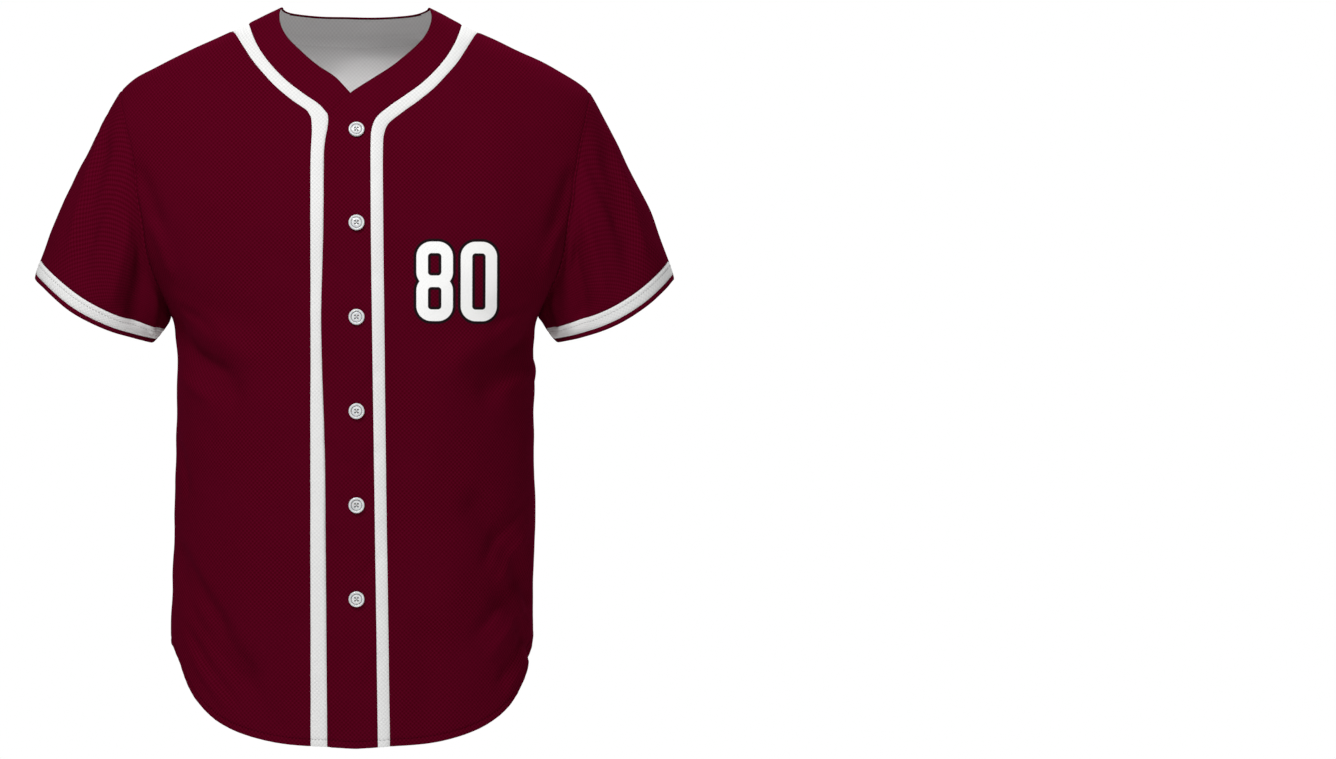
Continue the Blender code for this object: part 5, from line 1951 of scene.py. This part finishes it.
@dataclass
class Studio:
    """Camera, soft lights, white surround and pale floor."""

    frame_width: float = 1336.0
    jersey_column: float = 355.5
    level_row: float = 380.0
    top_row: float = 50.0
    mm_a_pixel: float = 1.03
    distance: float = 6.0
    sensor: float = 36.0
    ambient: float = 0.15
    floor_height: float = -1.4
    floor_radius: float = 7.0

    def camera(self) -> None:
        """A long lens straight in front, turned so that the jersey stands left in the frame."""
        across = (self.frame_width / 2 - self.jersey_column) * self.mm_a_pixel * MM
        level = (self.top_row - self.level_row) * self.mm_a_pixel * MM
        data = bpy.data.cameras.new("camera")
        data.sensor_width = self.sensor
        data.lens = self.sensor * self.distance / (self.frame_width * self.mm_a_pixel * MM)
        camera = bpy.data.objects.new("camera", data)
        bpy.context.scene.collection.objects.link(camera)
        camera.location = (0.0, -self.distance, level)
        aim = Vector((across, 0.0, level)) - camera.location
        camera.rotation_euler = aim.to_track_quat("-Z", "Y").to_euler()
        bpy.context.scene.camera = camera

    def softbox(self, name: str, place: tuple, size: float, power: float) -> None:
        """A square soft light aimed at the jersey's middle."""
        data = bpy.data.lights.new(name, "AREA")
        data.shape = "SQUARE"
        data.size = size
        data.energy = power
        light = bpy.data.objects.new(name, data)
        bpy.context.scene.collection.objects.link(light)
        light.location = place
        aim = Vector((0.0, 0.0, -0.35)) - light.location
        light.rotation_euler = aim.to_track_quat("-Z", "Y").to_euler()

    def surround(self) -> None:
        """A world that is white to look at and softer as light."""
        world = bpy.data.worlds.new("surround")
        bpy.context.scene.world = world
        world.use_nodes = True
        tree = world.node_tree
        background = tree.nodes["Background"]
        background.inputs["Color"].default_value = (1.0, 1.0, 1.0, 1.0)
        path = tree.nodes.new("ShaderNodeLightPath")
        strength = tree.nodes.new("ShaderNodeMapRange")
        strength.inputs["To Min"].default_value = self.ambient
        strength.inputs["To Max"].default_value = 1.0
        tree.links.new(path.outputs["Is Camera Ray"], strength.inputs["Value"])
        tree.links.new(strength.outputs[0], background.inputs["Strength"])

    def floor(self) -> None:
        """A round pale floor below the hem."""
        disc = bmesh.new()
        bmesh.ops.create_circle(disc, cap_ends=True, segments=96, radius=self.floor_radius)
        mesh = bpy.data.meshes.new("floor")
        disc.to_mesh(mesh)
        disc.free()
        board = Board("pale floor", (0.86, 0.86, 0.86))
        place = board.signal(board.node("ShaderNodeTexCoord"), "Object")
        grain = board.noise(place, 3.0, 2.0)
        shades = board.mix(grain, (0.88, 0.88, 0.88), (0.84, 0.84, 0.84))
        board.feed(board.shader.inputs["Base Color"], shades)
        board.constant(Roughness=0.9, Emission_Color=(1.0, 1.0, 1.0, 1.0), Emission_Strength=0.2)
        mesh.materials.append(board.material)
        floor = bpy.data.objects.new("floor", mesh)
        bpy.context.scene.collection.objects.link(floor)
        floor.location.z = self.floor_height
        floor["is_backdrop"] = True

    def build(self) -> None:
        """Set up the picture."""
        self.camera()
        self.surround()
        self.floor()
        self.softbox("key", (-1.1, -2.1, 2.4), 0.8, 86.0)
        self.softbox("top", (0.2, -2.5, 2.0), 1.0, 26.0)
        self.softbox("fill", (1.6, -4.0, 0.3), 2.0, 12.0)
        self.softbox("back key", (1.1, 2.1, 2.4), 0.8, 84.0)
        self.softbox("back top", (-0.2, 2.5, 2.0), 1.0, 26.0)
        self.softbox("back fill", (-1.6, 4.0, 0.3), 2.0, 12.0)
        bpy.context.scene.view_settings.view_transform = "Standard"
        log.info("studio ready")


def corners() -> list[list[float]]:
    """Lowest and highest corner of what is shown, as plain lists."""
    return [list(corner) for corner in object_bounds()]


def main() -> None:
    """Dress the jersey, piece by piece, and note its size."""
    logging.basicConfig(level=logging.INFO, format="%(name)s %(message)s")
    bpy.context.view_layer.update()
    Studio().build()
    tailor = Tailor()
    Front(1, TOP_FRONT_LINES, tailor).build()
    Front(-1, UNDER_FRONT_LINES, tailor).build()
    Back(tailor).build()
    for side in (1, -1):
        Sleeve(side, tailor).build()
    for number in range(1, 7):
        Button(number, tailor.finishes).build()
    for name, (flat, area) in tailor.pieces.items():
        log.info("%s cut: %.3f x %.3f m, %.4f m2", name, *flat, area)


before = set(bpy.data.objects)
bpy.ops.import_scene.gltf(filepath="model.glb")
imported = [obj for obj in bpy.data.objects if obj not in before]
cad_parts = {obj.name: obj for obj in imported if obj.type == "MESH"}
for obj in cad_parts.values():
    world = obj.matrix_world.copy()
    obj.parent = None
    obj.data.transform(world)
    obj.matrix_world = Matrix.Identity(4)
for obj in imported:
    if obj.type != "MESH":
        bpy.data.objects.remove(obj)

if __name__ == "__main__":
    main()
